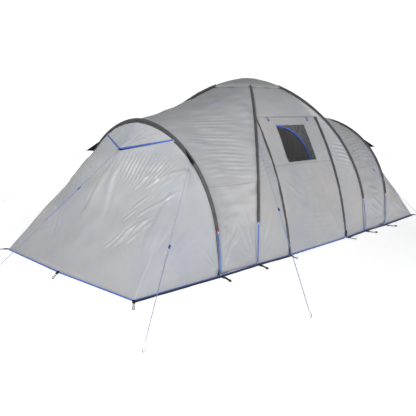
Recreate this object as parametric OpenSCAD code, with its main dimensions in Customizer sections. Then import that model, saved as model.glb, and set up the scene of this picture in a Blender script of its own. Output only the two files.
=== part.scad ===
// Six-berth dome tent: a standing dome on two crossed poles, a sleeping tunnel with an end arch
// on each side of it, a side door with a window, two hung sleeping cabins, guy lines and pegs.
// X runs along the tent, the door is on the -Y side, and Z = 0 is the ground.

/* [Dome] */
// Distance from the centre to each foot of the crossed dome poles, in plan
dome_reach = 1657; // [1600:1:1700]
// Height of the pole crossing above the ground
dome_rise = 1980; // [1940:1:2000]
// Angle of the dome poles to the length of the tent, in plan
dome_angle = 45.5; // [45:0.1:46]
// Height of the straight edge of the roof cap
cap_edge_z = 1896; // [1880:1:1900]

/* [End arches] */
// Distance from the centre to the feet of each end arch
arch_x = 1740; // [1730:1:1760]
// Half the width of an end arch on the ground
arch_half_w = 1187; // [1170:1:1200]
// Height of an end arch
arch_rise = 1486; // [1470:1:1500]
// How far the top of an end arch leans outwards
arch_lean = 52; // [40:1:60]

/* [Tent ends] */
// Distance from the centre to the corners of the hem
corner_x = 2765; // [2740:1:2790]
// Half the width of the hem at the tent's ends
corner_y = 1134; // [1120:1:1140]
// Distance from the centre to the middle of the end hem
end_mid_x = 2804; // [2790:1:2820]
// Distance from the centre to the peak of each vent hood
hood_peak_x = 2045; // [2030:1:2060]
// Height of the peak of each vent hood
hood_peak_z = 1183; // [1170:1:1200]

/* [Door] */
// Half the distance between the two door zips
zip_x = 615; // [605:1:620]
// Height of the top of the door
door_top_z = 1530; // [1520:1:1535]
// Half the width of the window
window_half_w = 293; // [280:1:300]
// Height of the window's lower edge
window_low_z = 1010; // [1000:5:1050]
// Height of the window's upper edge
window_high_z = 1430; // [1400:5:1440]

/* [Poles and fabric] */
// Diameter of the glass-fibre poles
pole_d = 11; // [9.5:0.5:11]
// Width of the pole sleeves
sleeve_w = 37; // [35:1:40]
// Height at which the pole sleeves end
sleeve_end_z = 474; // [460:1:480]
// Thickness that the fabric panels are given
fabric_t = 3; // [2:0.5:3]
// Diameter of the guy lines
line_d = 3.5; // [3:0.5:3.5]

/* [Cabins] */
// Distance from the centre to the door wall of each sleeping cabin
cabin_wall_x = 1150; // [1140:1:1150]
// Height of the cabin at its door wall
cabin_h = 1560; // [1500:1:1560]

/* [Hidden] */
$fn = 32;
// Shape exponents of the poles: 1 would be an ellipse
dome_power = 1.142;
arch_power_y = 1.105;
arch_power_z = 0.794;
// The fabric's seam lies this far inside the pole's centre line
seam_inset = 12;
// Lowest edge of the fly fabric and top of the blue hem binding
hem_low = 8;
hem_high = 25;
// Centre and radius of the door's curved profile in the YZ plane
door_arc_y = 2319;
door_arc_z = -443;
door_arc_r = 3550;
// Width of the gaps that the door's zips close
zip_gap = 14;
// How far the middle of the door and of the tunnel panels sags inwards
door_mid_sag = 15;
panel_sag = 35;
// How far pole b rises to pass over pole a at the crown
cross_lift = pole_d + 2;
// Pole parameters: at the cap's corners, the sleeve ends, and the hood's and the guy tabs' edges
cap_t = asin(cap_edge_z / dome_rise);
sleeve_t = asin(sleeve_end_z / dome_rise);
arch_sleeve_t = arch_angle(sleeve_end_z);
hood_t = 31.5;
tab_t = 43.6;
foot_t = 89.99;
// Share of each side, from the middle, that the roof cap's edge takes
cap_share = 0.12;
// Shape of the cabin's roof: distance from the centre, half width and height of each frame
cabin_frames = [
    [cabin_wall_x + 3, 1060, cabin_h],
    [1750, 1090, 1180],
    [2060, 960, 940],
    [2640, 960, 120],
];
// The cabin's D-shaped door: where its two arcs meet, its sill and its hinge side
cabin_door_y = 450;
cabin_door_sill = 150;
cabin_hinge_y = 705;
// Guy lines: where each leaves the tent, its peg, and the runner's share of the way down
GUYS = [
    [[-2068, 0, 1170], [-3644, 0, 12], 0.315],
    [[-1872, -880, 1100], [-3317, -1930, 12], 0.545],
    [[-1872, 880, 1100], [-3317, 1930, 12], 0.6],
    [[-868, -897, 1270], [-1984, -2378, 12], 0.475],
    [[868, -897, 1270], [2230, -1620, 12], 0.365],
    [[1872, -880, 1100], [3590, -1355, 12], 0.62],
];
loop_r = 8;
runner_bore = 2.8;
// Places of the hem's elastic loops: hem point and peg, for one quarter of the tent
hem_points = [
    [[2768, 1137, 0], [2880, 1275, 6]],
    [[618, 1206, 0], [650, 1325, 6]],
];
foot_strap_len = 62;
strap_w = 20;

// Colours of the sub-parts
fly_grey = [0.72, 0.73, 0.75];
roof_grey = [0.6, 0.61, 0.61];
sleeve_grey = [0.27, 0.27, 0.28];
pole_blue = [0.25, 0.4, 0.75];
hem_blue = [0.15, 0.3, 0.72];
webbing_black = [0.08, 0.08, 0.09];
cabin_grey = [0.25, 0.25, 0.26];
steel_grey = [0.7, 0.71, 0.73];
line_white = [0.8, 0.82, 0.86];

// ---- Small helpers ----
function unit(v) = v / norm(v);
function mix(a, b, s) = a + (b - a) * s;
function ellipse_profile(a, b, sides) =
    [for (k = [0 : sides - 1]) [a * cos(360 * k / sides), b * sin(360 * k / sides)]];
function tangent(path, i) = unit(path[min(i + 1, len(path) - 1)] - path[max(i - 1, 0)]);

// ---- Curves of the frame ----
function dome_radius(t) = dome_reach * pow(cos(t), dome_power);
function dome_point(sx, sy, t, inset = 0) =
    let (r = dome_radius(t) - inset)
    [sx * r * cos(dome_angle), sy * r * sin(dome_angle), dome_rise * sin(t) - inset * sin(t)];
function dome_t(z) = asin(z / dome_rise);
function arch_angle(z) = acos(pow(z / arch_rise, 1 / arch_power_z));
function arch_point(sx, t, inset = 0) =
    let (
        z = (arch_rise - inset) * pow(cos(t), arch_power_z),
        y = (arch_half_w - inset) * sign(t) * pow(abs(sin(t)), arch_power_y)
    )
    [sx * (arch_x + arch_lean * z / arch_rise), y, z];

// The seams follow the poles down to the sleeve ends and run straight from there to the hem.
function dome_seam(sx, sy, t) =
    t >= sleeve_t
        ? dome_point(sx, sy, t, seam_inset)
        : let (
            foot = dome_point(sx, sy, 0, seam_inset),
            top = dome_point(sx, sy, sleeve_t, seam_inset)
        )
        mix(foot, top, sin(t) / sin(sleeve_t));
function arch_seam(sx, t) =
    abs(t) <= arch_sleeve_t
        ? arch_point(sx, t, seam_inset)
        : let (
            top = arch_point(sx, sign(t) * arch_sleeve_t, seam_inset),
            foot = arch_point(sx, sign(t) * foot_t, seam_inset),
            z = arch_point(sx, t, seam_inset)[2]
        )
        mix(foot, top, z / top[2]);

// ---- A thin sheet on a grid of points; keep() says which cells of the grid it has, ----
// ---- and turned() which of them are folded along their other diagonal ----
module fabric_sheet(
    grid,
    keep = function (i, j) true,
    turned = function (i, j) false,
    thick = fabric_t
) {
    rows = len(grid);
    cols = len(grid[0]);
    at = function (i, j) grid[min(max(i, 0), rows - 1)][min(max(j, 0), cols - 1)];
    normal = function (i, j) unit(cross(at(i + 1, j) - at(i - 1, j), at(i, j + 1) - at(i, j - 1)));
    has = function (i, j) i >= 0 && j >= 0 && i < rows - 1 && j < cols - 1 && keep(i, j);
    layer = function (d) [
        for (i = [0 : rows - 1]) for (j = [0 : cols - 1]) at(i, j) + normal(i, j) * d
    ];
    f = function (i, j) i * cols + j;
    b = function (i, j) rows * cols + i * cols + j;
    faces = [
        for (i = [0 : rows - 2]) for (j = [0 : cols - 2]) if (has(i, j)) each [
            if (turned(i, j)) each [
                [f(i, j), f(i, j + 1), f(i + 1, j)],
                [f(i, j + 1), f(i + 1, j + 1), f(i + 1, j)],
                [b(i, j), b(i + 1, j), b(i, j + 1)],
                [b(i, j + 1), b(i + 1, j), b(i + 1, j + 1)],
            ],
            if (!turned(i, j)) each [
                [f(i, j), f(i, j + 1), f(i + 1, j + 1)],
                [f(i, j), f(i + 1, j + 1), f(i + 1, j)],
                [b(i, j), b(i + 1, j + 1), b(i, j + 1)],
                [b(i, j), b(i + 1, j), b(i + 1, j + 1)],
            ],
            if (!has(i - 1, j)) each [
                [f(i, j + 1), f(i, j), b(i, j)],
                [f(i, j + 1), b(i, j), b(i, j + 1)],
            ],
            if (!has(i + 1, j)) each [
                [f(i + 1, j), f(i + 1, j + 1), b(i + 1, j + 1)],
                [f(i + 1, j), b(i + 1, j + 1), b(i + 1, j)],
            ],
            if (!has(i, j - 1)) each [
                [f(i, j), f(i + 1, j), b(i + 1, j)],
                [f(i, j), b(i + 1, j), b(i, j)],
            ],
            if (!has(i, j + 1)) each [
                [f(i + 1, j + 1), f(i, j + 1), b(i, j + 1)],
                [f(i + 1, j + 1), b(i, j + 1), b(i + 1, j + 1)],
            ],
        ],
    ];
    polyhedron(points = concat(layer(thick / 2), layer(-thick / 2)), faces = faces, convexity = 6);
}

// ---- A solid or hollow profile swept along a flat path; plane_n is the normal of its plane ----
module swept(path, plane_n, outer, inner = []) {
    n = len(path);
    m = len(outer);
    ring = function (i, profile)
        let (t = tangent(path, i), e = unit(cross(t, plane_n)))
        [for (q = profile) path[i] + q[0] * unit(plane_n) + q[1] * e];
    outer_points = [for (i = [0 : n - 1]) each ring(i, outer)];
    inner_points = len(inner) > 0 ? [for (i = [0 : n - 1]) each ring(i, inner)] : [];
    o = function (i, j) i * m + j % m;
    q = function (i, j) n * m + i * m + j % m;
    walls = [for (i = [0 : n - 2]) for (j = [0 : m - 1]) each [
        [o(i, j), o(i + 1, j), o(i + 1, j + 1)],
        [o(i, j), o(i + 1, j + 1), o(i, j + 1)],
    ]];
    caps = [[for (j = [0 : m - 1]) j], [for (j = [m - 1 : -1 : 0]) o(n - 1, j)]];
    bore = [for (i = [0 : n - 2]) for (j = [0 : m - 1]) each [
        [q(i, j), q(i + 1, j + 1), q(i + 1, j)],
        [q(i, j), q(i, j + 1), q(i + 1, j + 1)],
    ]];
    rims = [for (j = [0 : m - 1]) each [
        [o(0, j), o(0, j + 1), q(0, j + 1)],
        [o(0, j), q(0, j + 1), q(0, j)],
        [o(n - 1, j + 1), o(n - 1, j), q(n - 1, j)],
        [o(n - 1, j + 1), q(n - 1, j), q(n - 1, j + 1)],
    ]];
    faces = len(inner) > 0 ? concat(walls, bore, rims) : concat(walls, caps);
    polyhedron(points = concat(outer_points, inner_points), faces = faces, convexity = 8);
}

// ---- Dome: front and back panels ----
// Depth of the profile between the door zips, at height z
function profile_y(z) =
    z <= door_top_z
        ? sqrt(pow(door_arc_r, 2) - pow(z - door_arc_z, 2)) - door_arc_y
        : let (
            s = (z - door_top_z) / (cap_edge_z - door_top_z),
            drop = seam_depth(door_top_z) - profile_y(door_top_z)
        )
        seam_depth(z) - drop * (1 - s) * (1 - 0.6 * s);
function seam_t(z) = asin(z / (dome_rise - seam_inset));
function seam_depth(z) = dome_seam(1, 1, seam_t(z))[1];
function seam_x(z) = dome_seam(1, 1, seam_t(z))[0];
// Half width of the flat middle field, which the zips bound
function field_x(z) = z <= door_top_z ? zip_x : zip_x * seam_x(z) / seam_x(door_top_z);
function door_sag(x, z) =
    z < door_top_z ? door_mid_sag * sin(180 * z / door_top_z) * (1 - pow(x / zip_x, 2)) : 0;
function front_point(x, z) =
    let (
        f = field_x(z),
        s = max(0, abs(x) - f) / (seam_x(z) - f),
        y = abs(x) <= f ? profile_y(z) - door_sag(x, z) : mix(profile_y(z), seam_depth(z), s)
    )
    [x, -y, z];

// Heights of the rows and shares of the half width, for a panel with the door cut out
front_rows = concat(
    [for (k = [0 : 11]) mix(hem_low, door_top_z + 8, k / 11)],
    [1600, 1680, 1760, 1830, cap_edge_z - 6]
);
door_rows = 11;
function front_columns(z) =
    let (
        field = field_x(z) + (z <= door_top_z + 10 ? zip_gap / 2 : 0),
        edge = seam_x(z),
        half = concat([for (k = [1 : 4]) field * k / 4], [for (k = [1 : 3]) mix(field, edge, k / 3)])
    )
    concat([for (k = [6 : -1 : 0]) -half[k]], [0], half);

module dome_front_panel() {
    color(fly_grey)
        fabric_sheet(
            [for (z = front_rows) [for (x = front_columns(z)) front_point(x, z)]],
            function (i, j) i >= door_rows || j < 3 || j > 10
        );
}

module dome_back_panel() {
    color(fly_grey)
        mirror([0, 1, 0])
            fabric_sheet([for (z = front_rows) [for (x = front_columns(z)) front_point(x, z)]]);
}

// The cap spans the crown: every level line on it is a rectangle with its corners on the poles.
function cap_height(r) =
    let (t = acos(pow(r / dome_reach, 1 / dome_power)))
    dome_rise * sin(t) + cross_lift * pow(sin(t), 8) + pole_d / 2 + 4;
module roof_cap() {
    reach = dome_radius(cap_t) * 1.04;
    steps = 6;
    color(roof_grey)
        fabric_sheet(
            [for (i = [-steps : steps]) [for (j = [-steps : steps])
                let (a = i / steps, b = j / steps)
                [
                    a * reach * cos(dome_angle),
                    b * reach * sin(dome_angle),
                    cap_height(reach * max(abs(a), abs(b)))
                ]
            ]],
            turned = function (i, j) (i < steps) != (j < steps)
        );
}

// ---- Tunnel panels between the dome and the end arches ----
function tunnel_edge(sx, v) =
    let (corner = dome_seam(sx, 1, cap_t))
    abs(v) >= cap_share
        ? dome_seam(sx, sign(v), cap_t * (1 - abs(v)) / (1 - cap_share))
        : [corner[0], corner[1] * v / cap_share, corner[2]];
function tunnel_point(sx, u, v) =
    let (
        p = mix(tunnel_edge(sx, v), arch_seam(sx, 90 * v), u),
        sag = panel_sag * 4 * u * (1 - u) * min(1, 4 * (1 - abs(v)))
    )
    p - sag * unit([0, p[1], p[2]]);

module tunnel_panel(sx) {
    last = 0.996;
    color(fly_grey)
        fabric_sheet([for (i = [-16 : 16])
            [for (j = [0 : 8]) tunnel_point(sx, j / 8, last * i / 16)]]);
}
module tunnel_panel_left() tunnel_panel(-1);
module tunnel_panel_right() tunnel_panel(1);

// ---- Sloping ends: from the arch leg and the hood's edge down to the hem ----
corner_share = 0.6;
hood_share = 0.5;
function end_top(sx, w) =
    let (
        a = abs(w),
        s = sign(w),
        low_share = (a - corner_share) / (1 - corner_share),
        tab_share = (a - hood_share) / (corner_share - hood_share),
        peak = [sx * (hood_peak_x - 12), 0, hood_peak_z - 16]
    )
    a >= corner_share ? arch_seam(sx, s * mix(tab_t, foot_t, low_share))
    : a >= hood_share ? arch_seam(sx, s * mix(hood_t, tab_t, tab_share))
    : mix(peak, arch_seam(sx, s * hood_t), a / hood_share);
function end_bottom(sx, w) =
    let (
        a = abs(w),
        s = sign(w),
        mid = [sx * end_mid_x, 0, 0],
        corner = [sx * corner_x, s * corner_y, 0],
        foot = arch_seam(sx, s * foot_t),
        along = 0.3
    )
    a >= corner_share ? mix(corner, foot, (a - corner_share) / (1 - corner_share))
    : a >= hood_share ? mix(corner, mid, along * (corner_share - a) / (corner_share - hood_share))
    : mix(mix(corner, mid, along), mid, 1 - a / hood_share);
function end_point(sx, w, s) =
    let (
        top = end_top(sx, w),
        foot = end_bottom(sx, w),
        low = [foot[0], foot[1], hem_low],
        deep = abs(w) > corner_share
            ? 6 * sin(180 * (1 - abs(w)) / (1 - corner_share))
            : 12 + 12 * cos(180 * abs(w) / corner_share)
    )
    mix(top, low, s) - unit([sx * 0.8, 0, 0.6]) * deep * sin(180 * s);

module end_panel(sx) {
    columns = concat(
        [for (k = [0 : 5]) mix(0.985, corner_share, k / 6)],
        [corner_share, 0.55, hood_share, 0.38, 0.25, 0.12]
    );
    both = concat(-columns, [0], [for (k = [len(columns) - 1 : -1 : 0]) columns[k]]);
    color(fly_grey)
        fabric_sheet([for (w = both) [for (k = [0 : 10]) end_point(sx, w, k / 10)]]);
}
module end_panel_left() end_panel(-1);
module end_panel_right() end_panel(1);

// ---- Vent hoods over the top of the ends, with a mesh behind ----
module vent_hood(sx) {
    peak = [sx * hood_peak_x, 0, hood_peak_z];
    edge = function (v) mix(peak, arch_seam(sx, sign(v) * hood_t), abs(v));
    sag = function (v, k) [0, 0, 10 * sin(180 * k / 6) * (1 - abs(v))];
    color(fly_grey)
        fabric_sheet([for (i = [-8 : 8]) let (v = 0.97 * i / 8)
            [for (k = [0 : 6]) mix(arch_seam(sx, hood_t * v), edge(v), 0.01 + 0.99 * k / 6) - sag(v, k)]]);
}
module vent_hood_left() vent_hood(-1);
module vent_hood_right() vent_hood(1);

module vent_mesh(sx) {
    color(webbing_black)
        fabric_sheet(
            [for (i = [-8 : 8])
                let (top = arch_point(sx, hood_t * 0.93 * i / 8, 40), low = arch_point(sx, hood_t, 60))
                [for (k = [0 : 3]) [mix(top[0], low[0], k / 3), top[1], mix(top[2], low[2], k / 3)]]],
            thick = 2
        );
}
module vent_mesh_left() vent_mesh(-1);
module vent_mesh_right() vent_mesh(1);

// ---- Door ----
door_half = zip_x - zip_gap / 2;
door_x = [-door_half, -450, -window_half_w, -145, 0, 145, window_half_w, 450, door_half];
door_z = [24, 180, 340, 500, 660, 830, window_low_z, 1150, 1290, window_high_z, door_top_z - 6];
module door_panel() {
    in_window = function (i, j) i >= 6 && i <= 8 && j >= 2 && j <= 5;
    color(fly_grey)
        fabric_sheet(
            [for (z = door_z) [for (x = door_x) front_point(x, z)]],
            function (i, j) !in_window(i, j)
        );
}

module door_window() {
    inset = 1;
    color([0.1, 0.1, 0.11, 0.7])
        fabric_sheet(
            [for (k = [0 : 4]) let (z = mix(window_low_z + inset, window_high_z - inset, k / 4))
                [for (j = [-4 : 4]) front_point((window_half_w - inset) * j / 4, z)]],
            thick = 1
        );
}

// A band that lies on the outside of the front surface, over a zip
module zip_flap(sx) {
    stand_off = 8;
    color(sleeve_grey)
        fabric_sheet(
            [for (k = [0 : 14]) let (z = mix(26, door_top_z - 16, k / 14))
                [for (x = [zip_x - 22, zip_x, zip_x + 12])
                    let (p = front_point(x, z), a = asin((z - door_arc_z) / door_arc_r))
                    [sx * p[0], p[1] - stand_off * cos(a), p[2] + stand_off * sin(a)]]],
            thick = 2
        );
}
module door_flap_left() zip_flap(-1);
module door_flap_right() zip_flap(1);

module zip_slider(sx) {
    low = asin((42 - door_arc_z) / door_arc_r);
    color(webbing_black)
        translate([sx * zip_x, door_arc_y, door_arc_z])
            rotate([-low, 0, 0])
                translate([0, -door_arc_r + 1, 0]) {
                    cube([8, 5, 20], center = true);
                    translate([0, 5, 0])
                        cube([8, 5, 12], center = true);
                    translate([0, 8.5, -14])
                        cube([5, 2, 36], center = true);
                }
}
module zip_slider_left() zip_slider(-1);
module zip_slider_right() zip_slider(1);

module door_toggle(sx) {
    toggle_x = 401;
    color(hem_blue)
        translate([sx * toggle_x, front_point(toggle_x, 1500)[1] - 14, 1500])
            rotate([-25, 0, 0]) {
                cylinder(h = 46, d = 7, center = true);
                translate([0, 0, 27])
                    cube([10, 5, 12], center = true);
            }
}
module door_toggle_left() door_toggle(-1);
module door_toggle_right() door_toggle(1);

// ---- Hem binding and groundsheet ----
// Outline of the hem for x >= 0 on the near side, from the door to the middle of the end
function hem_quarter() = [
    [dome_seam(1, 1, 0)[0], dome_seam(1, 1, 0)[1]],
    [arch_point(1, foot_t, seam_inset)[0], arch_point(1, foot_t, seam_inset)[1]],
    [corner_x, corner_y],
    [end_mid_x, 0],
];
function reversed(list) = [for (k = [len(list) - 1 : -1 : 0]) list[k]];
// Point k of a path, moved out by d square to the path's two edges there
function moved_out(path, k, d) =
    let (
        before = unit(path[k] - path[max(k - 1, 0)] + (k == 0 ? path[1] - path[0] : [0, 0])),
        last = len(path) - 1,
        after = k == last ? before : unit(path[k + 1] - path[k]),
        n = [before[1] + after[1], -before[0] - after[0]]
    )
    path[k] + d * n / (1 + before * after);
// Hem from one side of the door round the tent to the other
function hem_path() =
    let (q = hem_quarter(), gate = [zip_x + 16, profile_y(0)], bay = [zip_x, profile_y(0)])
    concat(
        [[gate[0], -gate[1]]],
        [for (p = [q[0], q[1], q[2]]) [p[0], -p[1]]],
        [q[3], q[2], q[1], q[0], bay, [-bay[0], bay[1]]],
        [for (p = [q[0], q[1], q[2]]) [-p[0], p[1]]],
        [[-q[3][0], 0]],
        [for (p = [q[2], q[1], q[0]]) -p],
        [-gate]
    );
module hem_binding() {
    path = hem_path();
    band = function (d) [for (k = [0 : len(path) - 1]) moved_out(path, k, d)];
    color(hem_blue)
        translate([0, 0, hem_low])
            linear_extrude(hem_high - hem_low)
                polygon(concat(band(5.5), reversed(band(2.5))));
}
module door_hem_binding() {
    y = profile_y(0);
    half = zip_x - 30;
    color(hem_blue)
        translate([-half, -y - 7, hem_low + 2])
            cube([2 * half, 4, hem_high - hem_low]);
}

// A tray: a sheet on the ground whose rim stands just inside the fly, set back at the door
module groundsheet() {
    side_inset = 24;
    end_inset = 50;
    wall = 3;
    rim_h = 45;
    gate = [zip_x + 50, 1080];
    q = hem_quarter();
    near = [
        [q[1][0], q[1][1] - side_inset],
        [q[2][0] - end_inset, q[2][1] - side_inset],
        [q[3][0] - end_inset, 0],
    ];
    bay = [q[0][0] - side_inset, q[0][1] - side_inset];
    outline = concat(
        [[-gate[0], -gate[1]], [gate[0], -gate[1]]],
        [for (p = [near[0], near[1]]) [p[0], -p[1]]],
        [near[2], near[1], near[0], bay, [-bay[0], bay[1]]],
        [for (p = [near[0], near[1]]) [-p[0], p[1]]],
        [for (p = [near[2], near[1], near[0]]) -p]
    );
    color(webbing_black) {
        linear_extrude(2)
            polygon(outline);
        linear_extrude(rim_h)
            difference() {
                polygon(outline);
                polygon([for (p = outline) p - wall * [sign(p[0]), sign(p[1])]]);
            }
    }
}

// ---- Poles and sleeves ----
pole_foot_z = 26;
dome_plane = function (sx, sy) [sin(dome_angle), -sx * sy * cos(dome_angle), 0];
function dome_leg(sx, sy, t0, t1, steps, lift = 0) =
    [for (k = [0 : steps]) let (t = mix(t0, t1, k / steps))
        dome_point(sx, sy, t) + [0, 0, lift * pow(sin(t), 8)]];
module dome_pole(sy, lift) {
    up = dome_leg(-1, sy, dome_t(pole_foot_z), 90, 22, lift);
    path = concat(up, [for (k = [21 : -1 : 0]) [-up[k][0], -up[k][1], up[k][2]]]);
    color(pole_blue)
        swept(path, dome_plane(-1, sy), ellipse_profile(pole_d / 2, pole_d / 2, 8));
}
module dome_pole_a() dome_pole(-1, 0);
module dome_pole_b() dome_pole(1, cross_lift);

arch_plane = function (sx) unit([arch_rise, 0, -sx * arch_lean]);
function arch_path(sx, t1, steps) = [for (k = [-steps : steps]) arch_point(sx, t1 * k / steps)];
module arch_pole(sx) {
    path = arch_path(sx, arch_angle(pole_foot_z), 22);
    color(pole_blue)
        swept(path, arch_plane(sx), ellipse_profile(pole_d / 2, pole_d / 2, 8));
}
module arch_pole_left() arch_pole(-1);
module arch_pole_right() arch_pole(1);

sleeve_outer = ellipse_profile(sleeve_w / 2, 9.5, 10);
sleeve_inner = ellipse_profile(sleeve_w / 2 - 3, 7.2, 10);
module arch_sleeve(sx) {
    color(sleeve_grey)
        swept(arch_path(sx, arch_sleeve_t, 17), arch_plane(sx), sleeve_outer, sleeve_inner);
}
module arch_sleeve_left() arch_sleeve(-1);
module arch_sleeve_right() arch_sleeve(1);

module dome_sleeve_leg(sx, sy, lift) {
    path = dome_leg(sx, sy, sleeve_t, cap_t, 18, lift);
    color(sleeve_grey)
        swept(path, dome_plane(sx, sy), sleeve_outer, sleeve_inner);
}
module dome_sleeve_a() {
    dome_sleeve_leg(-1, -1, 0);
    dome_sleeve_leg(1, 1, 0);
}
module dome_sleeve_b() {
    dome_sleeve_leg(-1, 1, cross_lift);
    dome_sleeve_leg(1, -1, cross_lift);
}

module sleeve_end_bands() {
    outer = ellipse_profile(sleeve_w / 2 - 5, 9, 10);
    inner = ellipse_profile(7, 7, 10);
    band = 22;
    for (sx = [-1, 1]) for (sy = [-1, 1]) {
        dome_path = dome_leg(sx, sy, dome_t(sleeve_end_z - band), dome_t(sleeve_end_z - 1), 2);
        arch_path = [for (h = [band, band / 2, 1]) arch_point(sx, sy * arch_angle(sleeve_end_z - h))];
        color(hem_blue)
            swept(dome_path, dome_plane(sx, sy), outer, inner);
        color([0.6, 0.1, 0.12])
            swept(arch_path, arch_plane(sx), outer, inner);
    }
}

// ---- Feet: pins, straps and their buckles ----
feet = [for (p = [dome_point(1, 1, 0), arch_point(1, foot_t)]) [p[0], p[1]]];
module at_each_foot() {
    for (foot = feet) for (sx = [0, 1]) for (sy = [0, 1])
        mirror([sx, 0, 0]) mirror([0, sy, 0]) translate([foot[0], foot[1], 0]) children();
}
module foot_pins() {
    color(steel_grey)
        at_each_foot() {
            translate([0, 0, 7])
                cylinder(h = 18, d = 5);
            translate([0, 0, 5])
                rotate_extrude()
                    translate([9, 0])
                        circle(d = 4);
            translate([0, 0, 3])
                cylinder(h = 4, d = 15);
        }
}
module foot_straps() {
    color(webbing_black)
        at_each_foot()
            translate([-strap_w / 2, -14, 0])
                linear_extrude(2)
                    square([strap_w, foot_strap_len]);
}
module strap_buckles() {
    color(webbing_black)
        at_each_foot()
            translate([0, foot_strap_len - 24, 2.5])
                difference() {
                    translate([-15, 0, 0])
                        cube([30, 26, 5]);
                    for (y = [4, 15])
                        translate([-11, y, -1])
                            cube([22, 6, 7]);
                }
}

// ---- Elastic loops and pegs ----
// A guy line: down to the peg, round it, and back up to the runner at share `stop` of the way
function line_side(from, peg) = unit(cross(peg - from, [0, 0, 1]));
function line_path(from, peg, stop) =
    let (d = unit(peg - from), side = loop_r * line_side(from, peg))
    concat(
        [for (f = [0, 0.08, 0.2, 0.32]) mix(from, peg, f)],
        [for (f = [0.45, 0.6, 0.75, 0.88, 0.96, 0.99]) mix(from, peg, f) + side * max(0, (f - 0.7) / 0.3)],
        [for (a = [10, 50, 90, 130, 170]) peg + side * cos(a) + d * loop_r * sin(a)],
        [for (f = [0.99, 0.9, 0.8, 0.7, 0.6]) if (f > stop + 0.05) mix(from, peg, f) - side],
        [mix(from, peg, stop) - side]
    );

// The peg stands just inside its loop
peg_offset = 2.2;
module peg_hook(at, from) {
    out = atan2(at[1] - from[1], at[0] - from[0]);
    color(steel_grey)
        translate([at[0], at[1], 0])
            rotate([0, 0, out])
                translate([peg_offset, 0, 0]) {
                    cylinder(h = 30, d = 5);
                    translate([9, 0, 30])
                        rotate([90, 0, 0])
                            rotate_extrude(angle = 180)
                                translate([9, 0])
                                    circle(d = 5);
                    translate([18, 0, 22])
                        cylinder(h = 8, d = 5);
                }
}

module hem_loop(from, peg) {
    start = [from[0], from[1], 12];
    d = unit([peg[0] - from[0], peg[1] - from[1], 0]);
    side = cross(d, [0, 0, 1]);
    path = concat(
        [for (f = [0, 0.4, 0.8]) mix(start, peg, f) + side * loop_r],
        [for (a = [0, 45, 90, 135, 180]) peg + loop_r * (side * cos(a) + d * sin(a))],
        [for (f = [0.8, 0.4, 0]) mix(start, peg, f) - side * loop_r]
    );
    color(webbing_black)
        swept(path, [0, 0, 1], ellipse_profile(2.2, 2.2, 8));
}
end_loop = [[end_mid_x + 6, 0, 0], [end_mid_x + 136, -125, 6]];
module hem_loops() {
    for (p = hem_points) for (sx = [0, 1]) for (sy = [0, 1])
        mirror([sx, 0, 0]) mirror([0, sy, 0]) hem_loop(p[0] + [6, 6, 0], p[1]);
    for (sx = [0, 1])
        mirror([sx, 0, 0]) hem_loop(end_loop[0], end_loop[1]);
}
module hem_pegs() {
    for (p = hem_points) for (sx = [0, 1]) for (sy = [0, 1])
        mirror([sx, 0, 0]) mirror([0, sy, 0]) peg_hook(p[1], p[0]);
    for (sx = [0, 1])
        mirror([sx, 0, 0]) peg_hook(end_loop[1], end_loop[0]);
}

// ---- Guy lines ----
module guy_line(k) {
    guy = GUYS[k];
    up = cross(line_side(guy[0], guy[1]), guy[1] - guy[0]);
    color(line_white)
        swept(line_path(guy[0], guy[1], guy[2]), up, ellipse_profile(line_d / 2, line_d / 2, 8));
}
module guy_hood_left() guy_line(0);
module guy_arch_near_left() guy_line(1);
module guy_arch_far_left() guy_line(2);
module guy_dome_near_left() guy_line(3);
module guy_dome_near_right() guy_line(4);
module guy_arch_near_right() guy_line(5);

// A flat bar with one bore for each part of its line
module runner(k) {
    guy = GUYS[k];
    d = unit(guy[1] - guy[0]);
    at = mix(guy[0], guy[1], guy[2]) - line_side(guy[0], guy[1]) * loop_r / 2;
    turn = atan2(d[1], d[0]);
    tip = asin(-d[2]);
    color(hem_blue)
        translate(at - d * 20)
            rotate([0, 0, turn])
                rotate([0, tip, 0])
                    difference() {
                        translate([-16, -10, -4.5])
                            cube([32, 20, 9]);
                        for (y = [-loop_r / 2, loop_r / 2])
                            translate([0, y, 0])
                                rotate([0, 90, 0])
                                    cylinder(h = 40, r = runner_bore, center = true);
                    }
}
module runner_hood_left() runner(0);
module runner_arch_near_left() runner(1);
module runner_arch_far_left() runner(2);
module runner_dome_near_left() runner(3);
module runner_dome_near_right() runner(4);
module runner_arch_near_right() runner(5);

module guy_pegs() {
    for (guy = GUYS)
        peg_hook(guy[1], guy[0]);
}

// A flat triangle of webbing between three points
module web_tab(a, b, c, thick = 3) {
    n = unit(cross(b - a, c - a)) * thick / 2;
    flats = [[0, 2, 1], [3, 4, 5]];
    edges = [[0, 1, 4], [0, 4, 3], [1, 2, 5], [1, 5, 4], [2, 0, 3], [2, 3, 5]];
    color(webbing_black)
        polyhedron(points = [a + n, b + n, c + n, a - n, b - n, c - n], faces = concat(flats, edges));
}
module guy_tabs() {
    for (sx = [-1, 1]) {
        for (sy = [-1, 1]) {
            web_tab(
                arch_point(sx, sy * (tab_t - 2.5), -10) + [sx * 22, 0, 0],
                arch_point(sx, sy * (tab_t + 2.5), -10) + [sx * 22, 0, 0],
                [sx * 1868, sy * 876, 1103]
            );
            web_tab(
                dome_point(sx, sy, dome_t(1292), -11),
                dome_point(sx, sy, dome_t(1266), -11),
                [sx * 867, sy * 896, 1272]
            );
        }
        x = sx * (hood_peak_x + 3);
        web_tab([x, -9, hood_peak_z], [x, 9, hood_peak_z], [sx * 2066, 0, 1171]);
    }
}

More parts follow.
